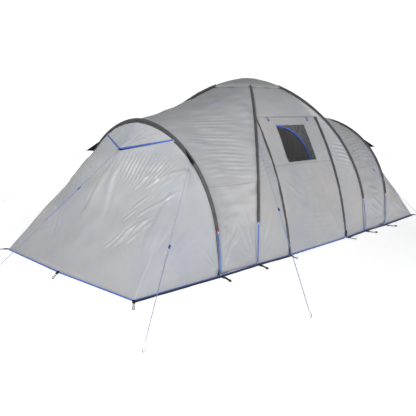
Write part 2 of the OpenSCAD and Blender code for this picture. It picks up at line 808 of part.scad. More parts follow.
// ---- Sleeping cabins ----
function cabin_frame(x) =
    let (
        k = x < cabin_frames[1][0] ? 0 : x < cabin_frames[2][0] ? 1 : 2,
        a = cabin_frames[k],
        b = cabin_frames[k + 1]
    )
    mix(a, b, (x - a[0]) / (b[0] - a[0]));
function cabin_roof(sx, x, t) =
    let (f = cabin_frame(x))
    [sx * x, f[1] * sign(t) * pow(abs(sin(t)), 1.1), 12 + f[2] * pow(cos(t), 0.8)];
// Outline of the D-shaped door in the YZ plane, made larger all round by grow
function cabin_door_outline(grow) =
    let (
        sill = cabin_door_sill - grow,
        corner = 250 + grow,
        corner_h = 420 + grow,
        reach = 830 + grow,
        rise = 1200 + 2 * grow
    )
    concat(
        [[cabin_hinge_y - 5 + grow, sill]],
        [for (a = [0 : 18 : 90])
            [cabin_door_y + corner * pow(cos(a), 0.8), 930 + corner_h * pow(sin(a), 0.8)]],
        [for (a = [99 : 9 : 180])
            [cabin_door_y - reach * pow(abs(cos(a)), 0.8), sill + rise * pow(abs(sin(a)), 0.8)]]
    );
module in_wall_plane(sx, x, thick) {
    translate([sx * x, 0, 0])
        mirror([sx < 0 ? 1 : 0, 0, 0])
            rotate([90, 0, 90])
                linear_extrude(thick)
                    children();
}
module cabin(sx) {
    stations = [cabin_frames[0][0], 1450, 1750, 1900, 2060, 2350, 2640];
    side = [for (f = cabin_frames) [sx * f[0], f[1]]];
    color(cabin_grey) {
        fabric_sheet(
            [for (x = stations) [for (k = [-8 : 8]) cabin_roof(sx, x, 89.5 * k / 8)]],
            thick = 2
        );
        translate([0, 0, 4])
            linear_extrude(3)
                polygon(concat(side, reversed([for (p = side) [p[0], -p[1]]])));
    }
}
module cabin_left() cabin(-1);
module cabin_right() cabin(1);

module cabin_wall(sx) {
    outline = [for (k = [-9 : 9]) cabin_roof(1, cabin_frames[0][0], 89.5 * k / 9)];
    color(cabin_grey)
        in_wall_plane(sx, cabin_wall_x, 3)
            difference() {
                polygon([for (p = outline) [p[1], p[2]]]);
                polygon(cabin_door_outline(4));
            }
}
module cabin_wall_left() cabin_wall(-1);
module cabin_wall_right() cabin_wall(1);

module cabin_door(sx) {
    color(cabin_grey)
        in_wall_plane(sx, cabin_wall_x, 3)
            polygon(cabin_door_outline(0));
}
module cabin_door_left() cabin_door(-1);
module cabin_door_right() cabin_door(1);

module cabin_piping(sx) {
    color(hem_blue)
        in_wall_plane(sx, cabin_wall_x - 6, 5)
            difference() {
                polygon(cabin_door_outline(24));
                polygon(cabin_door_outline(8));
                translate([cabin_hinge_y - 10, 0])
                    square([100, 2000]);
            }
}
module cabin_piping_left() cabin_piping(-1);
module cabin_piping_right() cabin_piping(1);

groundsheet();
dome_front_panel();
dome_back_panel();
tunnel_panel_left();
tunnel_panel_right();
end_panel_left();
end_panel_right();
vent_hood_left();
vent_hood_right();
vent_mesh_left();
vent_mesh_right();
roof_cap();
door_panel();
door_window();
hem_binding();
door_hem_binding();
door_flap_left();
door_flap_right();
zip_slider_left();
zip_slider_right();
arch_sleeve_left();
arch_sleeve_right();
dome_sleeve_a();
dome_sleeve_b();
arch_pole_left();
arch_pole_right();
dome_pole_a();
dome_pole_b();
sleeve_end_bands();
foot_pins();
foot_straps();
strap_buckles();
hem_loops();
hem_pegs();
guy_tabs();
cabin_left();
cabin_right();
cabin_wall_left();
cabin_wall_right();
cabin_door_left();
cabin_door_right();
cabin_piping_left();
cabin_piping_right();
door_toggle_left();
door_toggle_right();
guy_hood_left();
guy_arch_near_left();
guy_arch_far_left();
guy_dome_near_left();
guy_dome_near_right();
guy_arch_near_right();
runner_hood_left();
runner_arch_near_left();
runner_arch_far_left();
runner_dome_near_left();
runner_dome_near_right();
runner_arch_near_right();
guy_pegs();
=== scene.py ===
import math
import random

import bpy
import numpy as np
from mathutils import Matrix, Vector


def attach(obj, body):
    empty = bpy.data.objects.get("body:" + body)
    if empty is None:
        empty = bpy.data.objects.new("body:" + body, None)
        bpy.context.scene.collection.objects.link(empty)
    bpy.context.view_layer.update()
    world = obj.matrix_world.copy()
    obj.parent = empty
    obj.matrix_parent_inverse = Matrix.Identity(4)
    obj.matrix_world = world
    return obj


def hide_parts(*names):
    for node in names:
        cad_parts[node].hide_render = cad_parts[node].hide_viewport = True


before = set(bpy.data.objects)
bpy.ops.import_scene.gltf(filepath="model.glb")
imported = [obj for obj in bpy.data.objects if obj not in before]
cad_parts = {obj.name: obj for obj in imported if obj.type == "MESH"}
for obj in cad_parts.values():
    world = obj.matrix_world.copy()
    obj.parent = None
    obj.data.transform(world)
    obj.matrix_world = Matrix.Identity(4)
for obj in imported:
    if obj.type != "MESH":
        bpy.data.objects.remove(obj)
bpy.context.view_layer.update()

# ---------------------------------------------------------------------------------------------
# Driving dimensions, in metres, as in the CAD model
# ---------------------------------------------------------------------------------------------
DOME_REACH = 1.657
DOME_RISE = 1.980
DOME_ANGLE = math.radians(45.5)
CAP_EDGE_Z = 1.896
ARCH_X = 1.740
ARCH_HALF_W = 1.187
ARCH_RISE = 1.486
ARCH_LEAN = 0.052
CORNER_X = 2.765
CORNER_Y = 1.134
END_MID_X = 2.804
HOOD_X = 2.045
HOOD_Z = 1.183
ZIP_X = 0.615
ZIP_GAP = 0.014
DOOR_TOP = 1.530
WINDOW_HALF_W = 0.293
WINDOW_LOW = 1.010
WINDOW_HIGH = 1.430
POLE_D = 0.011
POLE_B_LIFT = POLE_D + 0.002
SLEEVE_W = 0.037
SLEEVE_END_Z = 0.474
LINE_D = 0.0035
LOOP_R = 0.008
STRAND_GAP = 0.0022
HEM_LOW = 0.008
SEAM_INSET = 0.012
DOOR_ARC_Y = 2.319
DOOR_ARC_Z = -0.443
DOOR_ARC_R = 3.550
HOOD_T = math.radians(31.5)
TAB_T = math.radians(43.6)
DOME_POWER = 1.142
ARCH_POWER_Y = 1.105
ARCH_POWER_Z = 0.794
CAP_SHARE = 0.12
PANEL_SAG = 0.035
CORNER_SHARE = 0.6
HOOD_SHARE = 0.5
FOOT_ANGLE = math.radians(89.99)
CAP_T = math.asin(CAP_EDGE_Z / DOME_RISE)
SLEEVE_T = math.asin(SLEEVE_END_Z / DOME_RISE)

SIDES = ((-1, "left"), (1, "right"))
CORNERS = [(sx, sy) for sx in (-1, 1) for sy in (-1, 1)]
X_AXIS = np.array([1.0, 0.0, 0.0])
UP = np.array([0.0, 0.0, 1.0])

# Guy lines: name, where each leaves the tent, its peg, and the runner's share of the way down
GUYS = [
    ("hood_left", (-2.068, 0, 1.170), (-3.644, 0, 0.012), 0.315),
    ("arch_near_left", (-1.872, -0.880, 1.100), (-3.317, -1.930, 0.012), 0.545),
    ("arch_far_left", (-1.872, 0.880, 1.100), (-3.317, 1.930, 0.012), 0.6),
    ("dome_near_left", (-0.868, -0.897, 1.270), (-1.984, -2.378, 0.012), 0.475),
    ("dome_near_right", (0.868, -0.897, 1.270), (2.230, -1.620, 0.012), 0.365),
    ("arch_near_right", (1.872, -0.880, 1.100), (3.590, -1.355, 0.012), 0.62),
]


# ---------------------------------------------------------------------------------------------
# Small helpers
# ---------------------------------------------------------------------------------------------
def vec(*p):
    return np.array(p, dtype=float)


def unit(v):
    return v / np.linalg.norm(v)


def mix(a, b, s):
    return a + (b - a) * s


def steps(a, b, n):
    return [mix(a, b, k / n) for k in range(n + 1)]


def grid_of(rows, cols, point):
    return np.array([[point(u, v) for v in cols] for u in rows])


def lengths_along(line):
    """Distance from the line's start to each of its points."""
    return np.concatenate([[0], np.cumsum(np.linalg.norm(np.diff(line, axis=0), axis=1))])


# ---------------------------------------------------------------------------------------------
# Curves and surfaces of the tent, the same as in the CAD model
# ---------------------------------------------------------------------------------------------
def dome_point(sx, sy, t, inset=0.0):
    r = DOME_REACH * max(math.cos(t), 0.0) ** DOME_POWER - inset
    z = (DOME_RISE - inset) * math.sin(t)
    return vec(sx * r * math.cos(DOME_ANGLE), sy * r * math.sin(DOME_ANGLE), z)


def dome_t(z):
    return math.asin(z / DOME_RISE)


def arch_angle(z):
    return math.acos((z / ARCH_RISE) ** (1 / ARCH_POWER_Z))


def arch_point(sx, t, inset=0.0):
    z = (ARCH_RISE - inset) * max(math.cos(t), 0.0) ** ARCH_POWER_Z
    y = (ARCH_HALF_W - inset) * math.copysign(abs(math.sin(t)) ** ARCH_POWER_Y, t)
    return vec(sx * (ARCH_X + ARCH_LEAN * z / ARCH_RISE), y, z)


ARCH_SLEEVE_T = arch_angle(SLEEVE_END_Z)


def dome_seam(sx, sy, t):
    if t >= SLEEVE_T:
        return dome_point(sx, sy, t, SEAM_INSET)
    foot = dome_point(sx, sy, 0, SEAM_INSET)
    return mix(foot, dome_point(sx, sy, SLEEVE_T, SEAM_INSET), math.sin(t) / math.sin(SLEEVE_T))


def arch_seam(sx, t):
    if abs(t) <= ARCH_SLEEVE_T:
        return arch_point(sx, t, SEAM_INSET)
    side = math.copysign(1, t)
    top = arch_point(sx, side * ARCH_SLEEVE_T, SEAM_INSET)
    foot = arch_point(sx, side * FOOT_ANGLE, SEAM_INSET)
    return mix(foot, top, arch_point(sx, t, SEAM_INSET)[2] / top[2])


def seam_t(z):
    return math.asin(z / (DOME_RISE - SEAM_INSET))


def seam_depth(z):
    return dome_seam(1, 1, seam_t(z))[1]


def seam_x(z):
    return dome_seam(1, 1, seam_t(z))[0]


def profile_y(z):
    if z <= DOOR_TOP:
        return math.sqrt(DOOR_ARC_R**2 - (z - DOOR_ARC_Z) ** 2) - DOOR_ARC_Y
    s = (z - DOOR_TOP) / (CAP_EDGE_Z - DOOR_TOP)
    drop = seam_depth(DOOR_TOP) - profile_y(DOOR_TOP)
    return seam_depth(z) - drop * (1 - s) * (1 - 0.6 * s)


def field_x(z):
    return ZIP_X if z <= DOOR_TOP else ZIP_X * seam_x(z) / seam_x(DOOR_TOP)


def front_point(x, z):
    f = field_x(z)
    if abs(x) > f:
        s = (abs(x) - f) / (seam_x(z) - f)
        y = mix(profile_y(z), seam_depth(z), s)
    else:
        y = profile_y(z)
        if z < DOOR_TOP:
            y -= 0.015 * math.sin(math.pi * z / DOOR_TOP) * (1 - (x / ZIP_X) ** 2)
    return vec(x, -y, z)


def tunnel_edge(sx, v):
    if abs(v) >= CAP_SHARE:
        return dome_seam(sx, math.copysign(1, v), CAP_T * (1 - abs(v)) / (1 - CAP_SHARE))
    corner = dome_seam(sx, 1, CAP_T)
    return vec(corner[0], corner[1] * v / CAP_SHARE, corner[2])


def tunnel_point(sx, u, v):
    p = mix(tunnel_edge(sx, v), arch_seam(sx, math.pi / 2 * v), u)
    sag = PANEL_SAG * 4 * u * (1 - u) * min(1, 4 * (1 - abs(v)))
    return p - sag * unit(vec(0, p[1], p[2]))


def end_top(sx, w):
    a, side = abs(w), math.copysign(1, w)
    if a >= CORNER_SHARE:
        return arch_seam(sx, side * mix(TAB_T, FOOT_ANGLE, (a - CORNER_SHARE) / (1 - CORNER_SHARE)))
    if a >= HOOD_SHARE:
        share = (a - HOOD_SHARE) / (CORNER_SHARE - HOOD_SHARE)
        return arch_seam(sx, side * mix(HOOD_T, TAB_T, share))
    peak = vec(sx * (HOOD_X - 0.012), 0, HOOD_Z - 0.016)
    return mix(peak, arch_seam(sx, side * HOOD_T), a / HOOD_SHARE)


def end_bottom(sx, w):
    a, side = abs(w), math.copysign(1, w)
    mid = vec(sx * END_MID_X, 0, 0)
    corner = vec(sx * CORNER_X, side * CORNER_Y, 0)
    foot = arch_seam(sx, side * FOOT_ANGLE)
    along = 0.3
    if a >= CORNER_SHARE:
        return mix(corner, foot, (a - CORNER_SHARE) / (1 - CORNER_SHARE))
    if a >= HOOD_SHARE:
        return mix(corner, mid, along * (CORNER_SHARE - a) / (CORNER_SHARE - HOOD_SHARE))
    return mix(mix(corner, mid, along), mid, 1 - a / HOOD_SHARE)


def end_point(sx, w, s):
    foot = end_bottom(sx, w)
    p = mix(end_top(sx, w), vec(foot[0], foot[1], HEM_LOW), s)
    a = abs(w)
    if a > CORNER_SHARE:
        deep = 0.006 * math.sin(math.pi * (1 - a) / (1 - CORNER_SHARE))
    else:
        deep = 0.024 * (0.5 + 0.5 * math.cos(math.pi * a / CORNER_SHARE))
    return p - unit(vec(sx * 0.8, 0, 0.6)) * deep * math.sin(math.pi * s)


# ---------------------------------------------------------------------------------------------
# Materials
# ---------------------------------------------------------------------------------------------
class Nodes:
    """A material with a Principled shader, and short calls for the nodes that feed it."""

    def __init__(self, name, color, roughness=0.6, metallic=0.0, alpha=1.0):
        self.mat = bpy.data.materials.new(name)
        self.mat.use_nodes = True
        self.tree = self.mat.node_tree
        self.shader = self.tree.nodes["Principled BSDF"]
        self.shader.inputs["Base Color"].default_value = (*color, 1)
        self.shader.inputs["Roughness"].default_value = roughness
        self.shader.inputs["Metallic"].default_value = metallic
        self.shader.inputs["Alpha"].default_value = alpha
        self.color = color

    def node(self, kind, **values):
        n = self.tree.nodes.new(kind)
        for key, value in values.items():
            if key in n.inputs:
                n.inputs[key].default_value = value
            else:
                setattr(n, key, value)
        return n

    def link(self, a, b):
        self.tree.links.new(a, b)

    def place(self, scale=(1, 1, 1), turn=(0, 0, 0)):
        coords = self.node("ShaderNodeTexCoord")
        mapping = self.node("ShaderNodeMapping")
        mapping.inputs["Scale"].default_value = scale
        mapping.inputs["Rotation"].default_value = turn
        self.link(coords.outputs["Object"], mapping.inputs["Vector"])
        return mapping.outputs["Vector"]

    def noise(self, scale, detail=3.0, rough=0.55, where=None):
        n = self.node("ShaderNodeTexNoise", Scale=scale, Detail=detail, Roughness=rough)
        self.link(where or self.place(), n.inputs["Vector"])
        return n.outputs["Fac"]

    def wave(self, scale, where):
        n = self.node("ShaderNodeTexWave", Scale=scale)
        self.link(where, n.inputs["Vector"])
        return n.outputs["Fac"]

    def math(self, op, a, b):
        n = self.node("ShaderNodeMath", operation=op)
        for k, value in enumerate((a, b)):
            if isinstance(value, (int, float)):
                n.inputs[k].default_value = value
            else:
                self.link(value, n.inputs[k])
        return n.outputs[0]

    def ramp(self, fac, stops):
        n = self.node("ShaderNodeValToRGB")
        elements = n.color_ramp.elements
        while len(elements) < len(stops):
            elements.new(0.5)
        for element, (at, color) in zip(elements, stops):
            element.position = at
            element.color = (*color, 1)
        self.link(fac, n.inputs["Fac"])
        return n.outputs["Color"]

    def blend(self, fac, a, b, mode="MIX"):
        n = self.node("ShaderNodeMix", data_type="RGBA", blend_type=mode)
        for socket, value in ((n.inputs[0], fac), (n.inputs[6], a), (n.inputs[7], b)):
            if isinstance(value, (int, float)):
                socket.default_value = value
            elif isinstance(value, tuple):
                socket.default_value = (*value, 1)
            else:
                self.link(value, socket)
        return n.outputs[2]

    def bump(self, height, strength, distance, under=None):
        n = self.node("ShaderNodeBump", Strength=strength, Distance=distance)
        self.link(height, n.inputs["Height"])
        if under is not None:
            self.link(under, n.inputs["Normal"])
        return n.outputs["Normal"]

    def finish(self, color=None, rough=None, normal=None):
        if color is not None:
            self.link(color, self.shader.inputs["Base Color"])
        if rough is not None:
            self.link(rough, self.shader.inputs["Roughness"])
        if normal is not None:
            self.link(normal, self.shader.inputs["Normal"])
        return self.mat


def shade(color, k):
    return tuple(c * k for c in color)


def coated_polyester(name, color, warm, cool, gloss=0.42):
    """Woven fly fabric: broad warm and cool tints painted into its colour as reflections of the surroundings,
    a fine ripstop weave and a soft coated sheen.
    """
    m = Nodes(name, color, gloss)
    m.shader.inputs["Sheen Weight"].default_value = 0.15
    m.shader.inputs["Sheen Roughness"].default_value = 0.45
    m.shader.inputs["Specular IOR Level"].default_value = 0.48
    # Painted reflection: these warm and cool patches stand in for the surroundings seen in the glossy coated
    # cloth.
    reflection_tint = m.ramp(m.noise(1.3, 2.0, 0.5), [(0.32, cool), (0.5, color), (0.68, warm)])
    cloud = m.ramp(m.noise(9.0, 4.0, 0.6), [(0.3, shade((1, 1, 1), 0.95)), (0.7, (1, 1, 1))])
    tinted = m.blend(1.0, reflection_tint, cloud, "MULTIPLY")
    weave_a = m.wave(420.0, m.place())
    weave_b = m.wave(420.0, m.place(turn=(0, 0, math.pi / 2)))
    weave = m.math("MULTIPLY", weave_a, weave_b)
    fine = m.bump(weave, 0.12, 0.0006)
    creases = m.bump(m.noise(30.0, 5.0, 0.62), 0.20, 0.005, fine)
    rough = m.math("ADD", m.math("MULTIPLY", m.noise(18.0, 4.0, 0.6), 0.18), gloss - 0.09)
    return m.finish(tinted, rough, creases)


def plain_cloth(name, color, rough, weave_scale=300.0):
    """Plain woven cloth for sleeves, tapes, the groundsheet and the cabins."""
    m = Nodes(name, color, rough)
    m.shader.inputs["Sheen Weight"].default_value = 0.12
    tone = m.ramp(m.noise(14.0, 4.0, 0.6), [(0.3, shade(color, 0.82)), (0.7, shade(color, 1.18))])
    weave_a = m.wave(weave_scale, m.place())
    weave_b = m.wave(weave_scale, m.place(turn=(math.pi / 2, 0, math.pi / 2)))
    normal = m.bump(m.math("ADD", weave_a, weave_b), 0.25, 0.0008)
    return m.finish(tone, None, m.bump(m.noise(45.0, 4.0, 0.6), 0.2, 0.003, normal))


def webbing_material(name, color):
    """Flat woven strap with ribs across it."""
    m = Nodes(name, color, 0.8)
    m.shader.inputs["Specular IOR Level"].default_value = 0.25
    tone = m.ramp(m.noise(60.0, 3.0, 0.5), [(0.3, shade(color, 0.7)), (0.7, shade(color, 1.4))])
    ribs = m.wave(260.0, m.place(turn=(0, 0, math.pi / 4)))
    return m.finish(tone, None, m.bump(ribs, 0.5, 0.0008))


def moulded(name, color):
    m = Nodes(name, color, 0.45)
    tone = m.ramp(m.noise(90.0, 3.0, 0.5), [(0.3, shade(color, 0.85)), (0.7, shade(color, 1.2))])
    return m.finish(tone, None, m.bump(m.noise(600.0, 2.0, 0.5), 0.15, 0.0004))


def steel_wire(name):
    m = Nodes(name, (0.55, 0.56, 0.58), 0.32, 1.0)
    tone = m.ramp(m.noise(70.0, 4.0, 0.6), [(0.3, (0.42, 0.43, 0.45)), (0.7, (0.66, 0.67, 0.7))])
    rough = m.math("ADD", m.math("MULTIPLY", m.noise(180.0, 3.0, 0.6), 0.25), 0.2)
    return m.finish(tone, rough, m.bump(m.noise(400.0, 3.0, 0.5), 0.1, 0.0004))


def glass_fibre(name, color):
    m = Nodes(name, color, 0.28)
    m.shader.inputs["Coat Weight"].default_value = 0.4
    m.shader.inputs["Coat Roughness"].default_value = 0.15
    streak = m.noise(55.0, 3.0, 0.5, m.place(scale=(1, 1, 0.15)))
    tone = m.ramp(streak, [(0.3, shade(color, 0.82)), (0.7, shade(color, 1.2))])
    return m.finish(tone, None, m.bump(m.noise(300.0, 2.0, 0.5), 0.06, 0.0004))


def braided_cord(name, color, fleck):
    m = Nodes(name, color, 0.65)
    m.shader.inputs["Sheen Weight"].default_value = 0.1
    braid = m.wave(700.0, m.place(turn=(0.5, 0.6, 0.4)))
    tone = m.ramp(braid, [(0.35, color), (0.75, fleck)])
    return m.finish(tone, None, m.bump(braid, 0.5, 0.0006))


def net(name, color, alpha):
    m = Nodes(name, color, 0.8, alpha=alpha)
    tone = m.ramp(m.noise(120.0, 2.0, 0.5), [(0.3, shade(color, 0.8)), (0.7, shade(color, 1.25))])
    threads = m.math("ADD", m.wave(260.0, m.place()), m.wave(260.0, m.place(turn=(0, 0, math.pi / 2))))
    return m.finish(tone, None, m.bump(threads, 0.4, 0.0006))


# The fly, cap and seam-tape cloths all carry the painted reflection tints of coated_polyester.
FLY = coated_polyester("fly_fabric", (0.420, 0.430, 0.445), (0.45, 0.437, 0.436), (0.39, 0.405, 0.445), 0.36)
# The cap's cloth is a darker grey than the fly. Part of that darkness is painted shade for the top of the
# tent, which the light reaches less.
CAP_WITH_PAINTED_SHADE = coated_polyester("cap_fabric", (0.32, 0.33, 0.33), (0.34, 0.335, 0.33), (0.30, 0.32, 0.33))
SEAM = coated_polyester("seam_tape", (0.36, 0.37, 0.385), (0.38, 0.37, 0.37), (0.34, 0.36, 0.385))
# Painted shadow: the dark grey of the bands along the seams below the sleeves, where the seams lie in shade.
SEAM_SHADE = plain_cloth("seam_painted_shadow", (0.17, 0.17, 0.18), 0.7)
SLEEVE = plain_cloth("sleeve_fabric", (0.055, 0.055, 0.057), 0.60)
FLAP = plain_cloth("zip_flap_fabric", (0.05, 0.05, 0.052), 0.62)
BLUE_TAPE = plain_cloth("blue_tape", (0.035, 0.11, 0.46), 0.6, 400.0)
PIPING = plain_cloth("cabin_piping", (0.05, 0.16, 0.80), 0.6, 400.0)
WEBBING = webbing_material("webbing", (0.007, 0.007, 0.008))
GROUND = plain_cloth("groundsheet", (0.007, 0.007, 0.008), 0.6)
NET = net("mesh", (0.006, 0.006, 0.006), 0.42)
CABIN = plain_cloth("cabin_fabric", (0.13, 0.13, 0.135), 0.8)
CABIN_LIGHT = plain_cloth("cabin_door_fabric", (0.040, 0.040, 0.043), 0.8)
POLE = glass_fibre("pole", (0.06, 0.16, 0.55))
STEEL = steel_wire("steel")
BLACK_PLASTIC = moulded("black_plastic", (0.014, 0.014, 0.015))
BLUE_PLASTIC = moulded("blue_plastic", (0.03, 0.06, 0.24))
BAND_BLUE = plain_cloth("end_band", (0.03, 0.05, 0.2), 0.6)
BAND_RED = plain_cloth("end_band_red", (0.28, 0.02, 0.025), 0.6)
LINE = braided_cord("guy_line", (0.13, 0.18, 0.38), (0.32, 0.36, 0.50))


# ---------------------------------------------------------------------------------------------
# Camera, light and floor
# ---------------------------------------------------------------------------------------------
WORLD_LOW = (0.95, 0.95, 0.96)
WORLD_HIGH = (0.20, 0.205, 0.215)
WORLD_POWER = 0.28
# The white that the camera sees behind the tent, and the floor's own glow near the tent and far from it
BACKDROP = 1.05
FLOOR_GLOW = 0.50
GLOW_NEAR, GLOW_FAR = 2.4, 5.5
FLOOR_HALF = 60
CAMERA_AT = (-5.429, -4.535, 1.619)
CAMERA_YAW, CAMERA_PITCH, CAMERA_ROLL = 43.77, -10.64, 0.89
CAMERA_LENS = 46.16
# Name, place, target, diameter, power and colour of each area light
LIGHTS = [
    ("key_light", (-9.6, -5.2, 6.6), (-0.8, -0.4, 0.8), 3.6, 1000, (0.985, 0.99, 1.0)),
    ("front_light", (4.6, -9.4, 2.8), (1.2, -0.6, 0.8), 2.6, 170, (1.0, 0.985, 0.97)),
    ("inner_light", (0.1, 0.20, 1.52), (1.2, 0.15, 1.0), 0.3, 20, (1.0, 1.0, 1.0)),
]


def make_camera():
    yaw, pitch, roll = (math.radians(a) for a in (CAMERA_YAW, CAMERA_PITCH, CAMERA_ROLL))
    ahead = Vector((math.cos(yaw) * math.cos(pitch), math.sin(yaw) * math.cos(pitch), math.sin(pitch)))
    right = Vector((math.sin(yaw), -math.cos(yaw), 0))
    up = right.cross(ahead)
    across = right * math.cos(roll) + up * math.sin(roll)
    upright = up * math.cos(roll) - right * math.sin(roll)
    data = bpy.data.cameras.new("camera")
    data.lens = CAMERA_LENS
    data.sensor_width = 36.0
    camera = bpy.data.objects.new("camera", data)
    turn = Matrix((across, upright, -ahead)).transposed().to_4x4()
    camera.matrix_world = Matrix.Translation(CAMERA_AT) @ turn
    bpy.context.collection.objects.link(camera)
    bpy.context.scene.camera = camera


def make_area_light(name, at, target, size, power, color):
    data = bpy.data.lights.new(name, "AREA")
    data.shape = "DISK"
    data.size = size
    data.energy = power
    data.color = color
    light = bpy.data.objects.new(name, data)
    light.location = at
    light.rotation_euler = (Vector(target) - Vector(at)).to_track_quat("-Z", "Y").to_euler()
    bpy.context.collection.objects.link(light)


def make_world():
    """Soft grey light from the sky, and plain white where the camera sees past the tent."""
    world = bpy.data.worlds.new("studio")
    bpy.context.scene.world = world
    world.use_nodes = True
    tree = world.node_tree
    soft = tree.nodes["Background"]
    coords = tree.nodes.new("ShaderNodeTexCoord")
    split = tree.nodes.new("ShaderNodeSeparateXYZ")
    ramp = tree.nodes.new("ShaderNodeValToRGB")
    ramp.color_ramp.elements[0].position = 0.05
    ramp.color_ramp.elements[0].color = (*WORLD_LOW, 1)
    ramp.color_ramp.elements[1].position = 0.85
    ramp.color_ramp.elements[1].color = (*WORLD_HIGH, 1)
    tree.links.new(coords.outputs["Generated"], split.inputs[0])
    tree.links.new(split.outputs["Z"], ramp.inputs["Fac"])
    tree.links.new(ramp.outputs["Color"], soft.inputs["Color"])
    soft.inputs["Strength"].default_value = WORLD_POWER
    white = tree.nodes.new("ShaderNodeBackground")
    white.inputs["Color"].default_value = (1, 1, 1, 1)
    white.inputs["Strength"].default_value = BACKDROP
    seen = tree.nodes.new("ShaderNodeLightPath")
    swap = tree.nodes.new("ShaderNodeMixShader")
    tree.links.new(seen.outputs["Is Camera Ray"], swap.inputs[0])
    tree.links.new(soft.outputs[0], swap.inputs[1])
    tree.links.new(white.outputs[0], swap.inputs[2])
    tree.links.new(swap.outputs[0], tree.nodes["World Output"].inputs["Surface"])


def make_floor():
    """A pale floor whose glow rises away from the tent, so that it meets the white behind it."""
    floor_mesh = bpy.data.meshes.new("floor")
    half = FLOOR_HALF
    corners = [(-half, -half, 0), (half, -half, 0), (half, half, 0), (-half, half, 0)]
    floor_mesh.from_pydata(corners, [], [(0, 1, 2, 3)])
    floor = bpy.data.objects.new("floor", floor_mesh)
    floor.location.z = -0.002
    bpy.context.collection.objects.link(floor)
    pale = Nodes("pale_floor", (0.86, 0.86, 0.86), 0.95)
    pale.shader.inputs["Emission Color"].default_value = (1, 1, 1, 1)
    away = pale.node("ShaderNodeVectorMath", operation="LENGTH")
    pale.link(pale.place(), away.inputs[0])
    glow = pale.node("ShaderNodeMapRange")
    levels = zip(("From Min", "From Max", "To Min", "To Max"), (GLOW_NEAR, GLOW_FAR, FLOOR_GLOW, BACKDROP))
    for socket, value in levels:
        glow.inputs[socket].default_value = value
    pale.link(away.outputs["Value"], glow.inputs["Value"])
    pale.link(glow.outputs["Result"], pale.shader.inputs["Emission Strength"])
    pale.shader.inputs["Specular IOR Level"].default_value = 0.1
    floor_mesh.materials.append(pale.mat)


def make_surroundings():
    make_world()
    make_floor()
    for light in LIGHTS:
        make_area_light(*light)
    bpy.context.scene.view_settings.view_transform = "Standard"


# ---------------------------------------------------------------------------------------------
# Mesh builders
# ---------------------------------------------------------------------------------------------
def add_object(name, mesh, material, body="tent", replaces=()):
    obj = bpy.data.objects.new(name, mesh)
    bpy.context.collection.objects.link(obj)
    mesh.materials.append(material)
    for polygon in mesh.polygons:
        polygon.use_smooth = True
    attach(obj, body)
    if replaces:
        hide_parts(*replaces)
    return obj


def mesh_from(name, points, faces):
    mesh = bpy.data.meshes.new(name)
    mesh.from_pydata([tuple(p) for p in points], [], faces)
    mesh.validate()
    mesh.update()
    return mesh


def grid_normals(grid):
    du = np.gradient(grid, axis=0)
    dv = np.gradient(grid, axis=1)
    n = np.cross(du, dv)
    return n / np.maximum(np.linalg.norm(n, axis=2, keepdims=True), 1e-9)


def grid_area(grid, keep=None):
    a = np.cross(grid[1:, :-1] - grid[:-1, :-1], grid[:-1, 1:] - grid[:-1, :-1])
    b = np.cross(grid[1:, :-1] - grid[1:, 1:], grid[:-1, 1:] - grid[1:, 1:])
    cells = (np.linalg.norm(a, axis=2) + np.linalg.norm(b, axis=2)) / 2
    return float((cells if keep is None else cells[keep]).sum())


def grid_sides(grid):
    """Length along each direction of the grid, at its widest line."""
    rows = np.linalg.norm(np.diff(grid, axis=0), axis=2).sum(axis=0).max()
    cols = np.linalg.norm(np.diff(grid, axis=1), axis=2).sum(axis=1).max()
    return float(rows), float(cols)


# Least and most shares of a cut sheet's flat rectangle that its worked-out area is kept within
LEAST_CUT, MOST_CUT = 0.31, 0.995


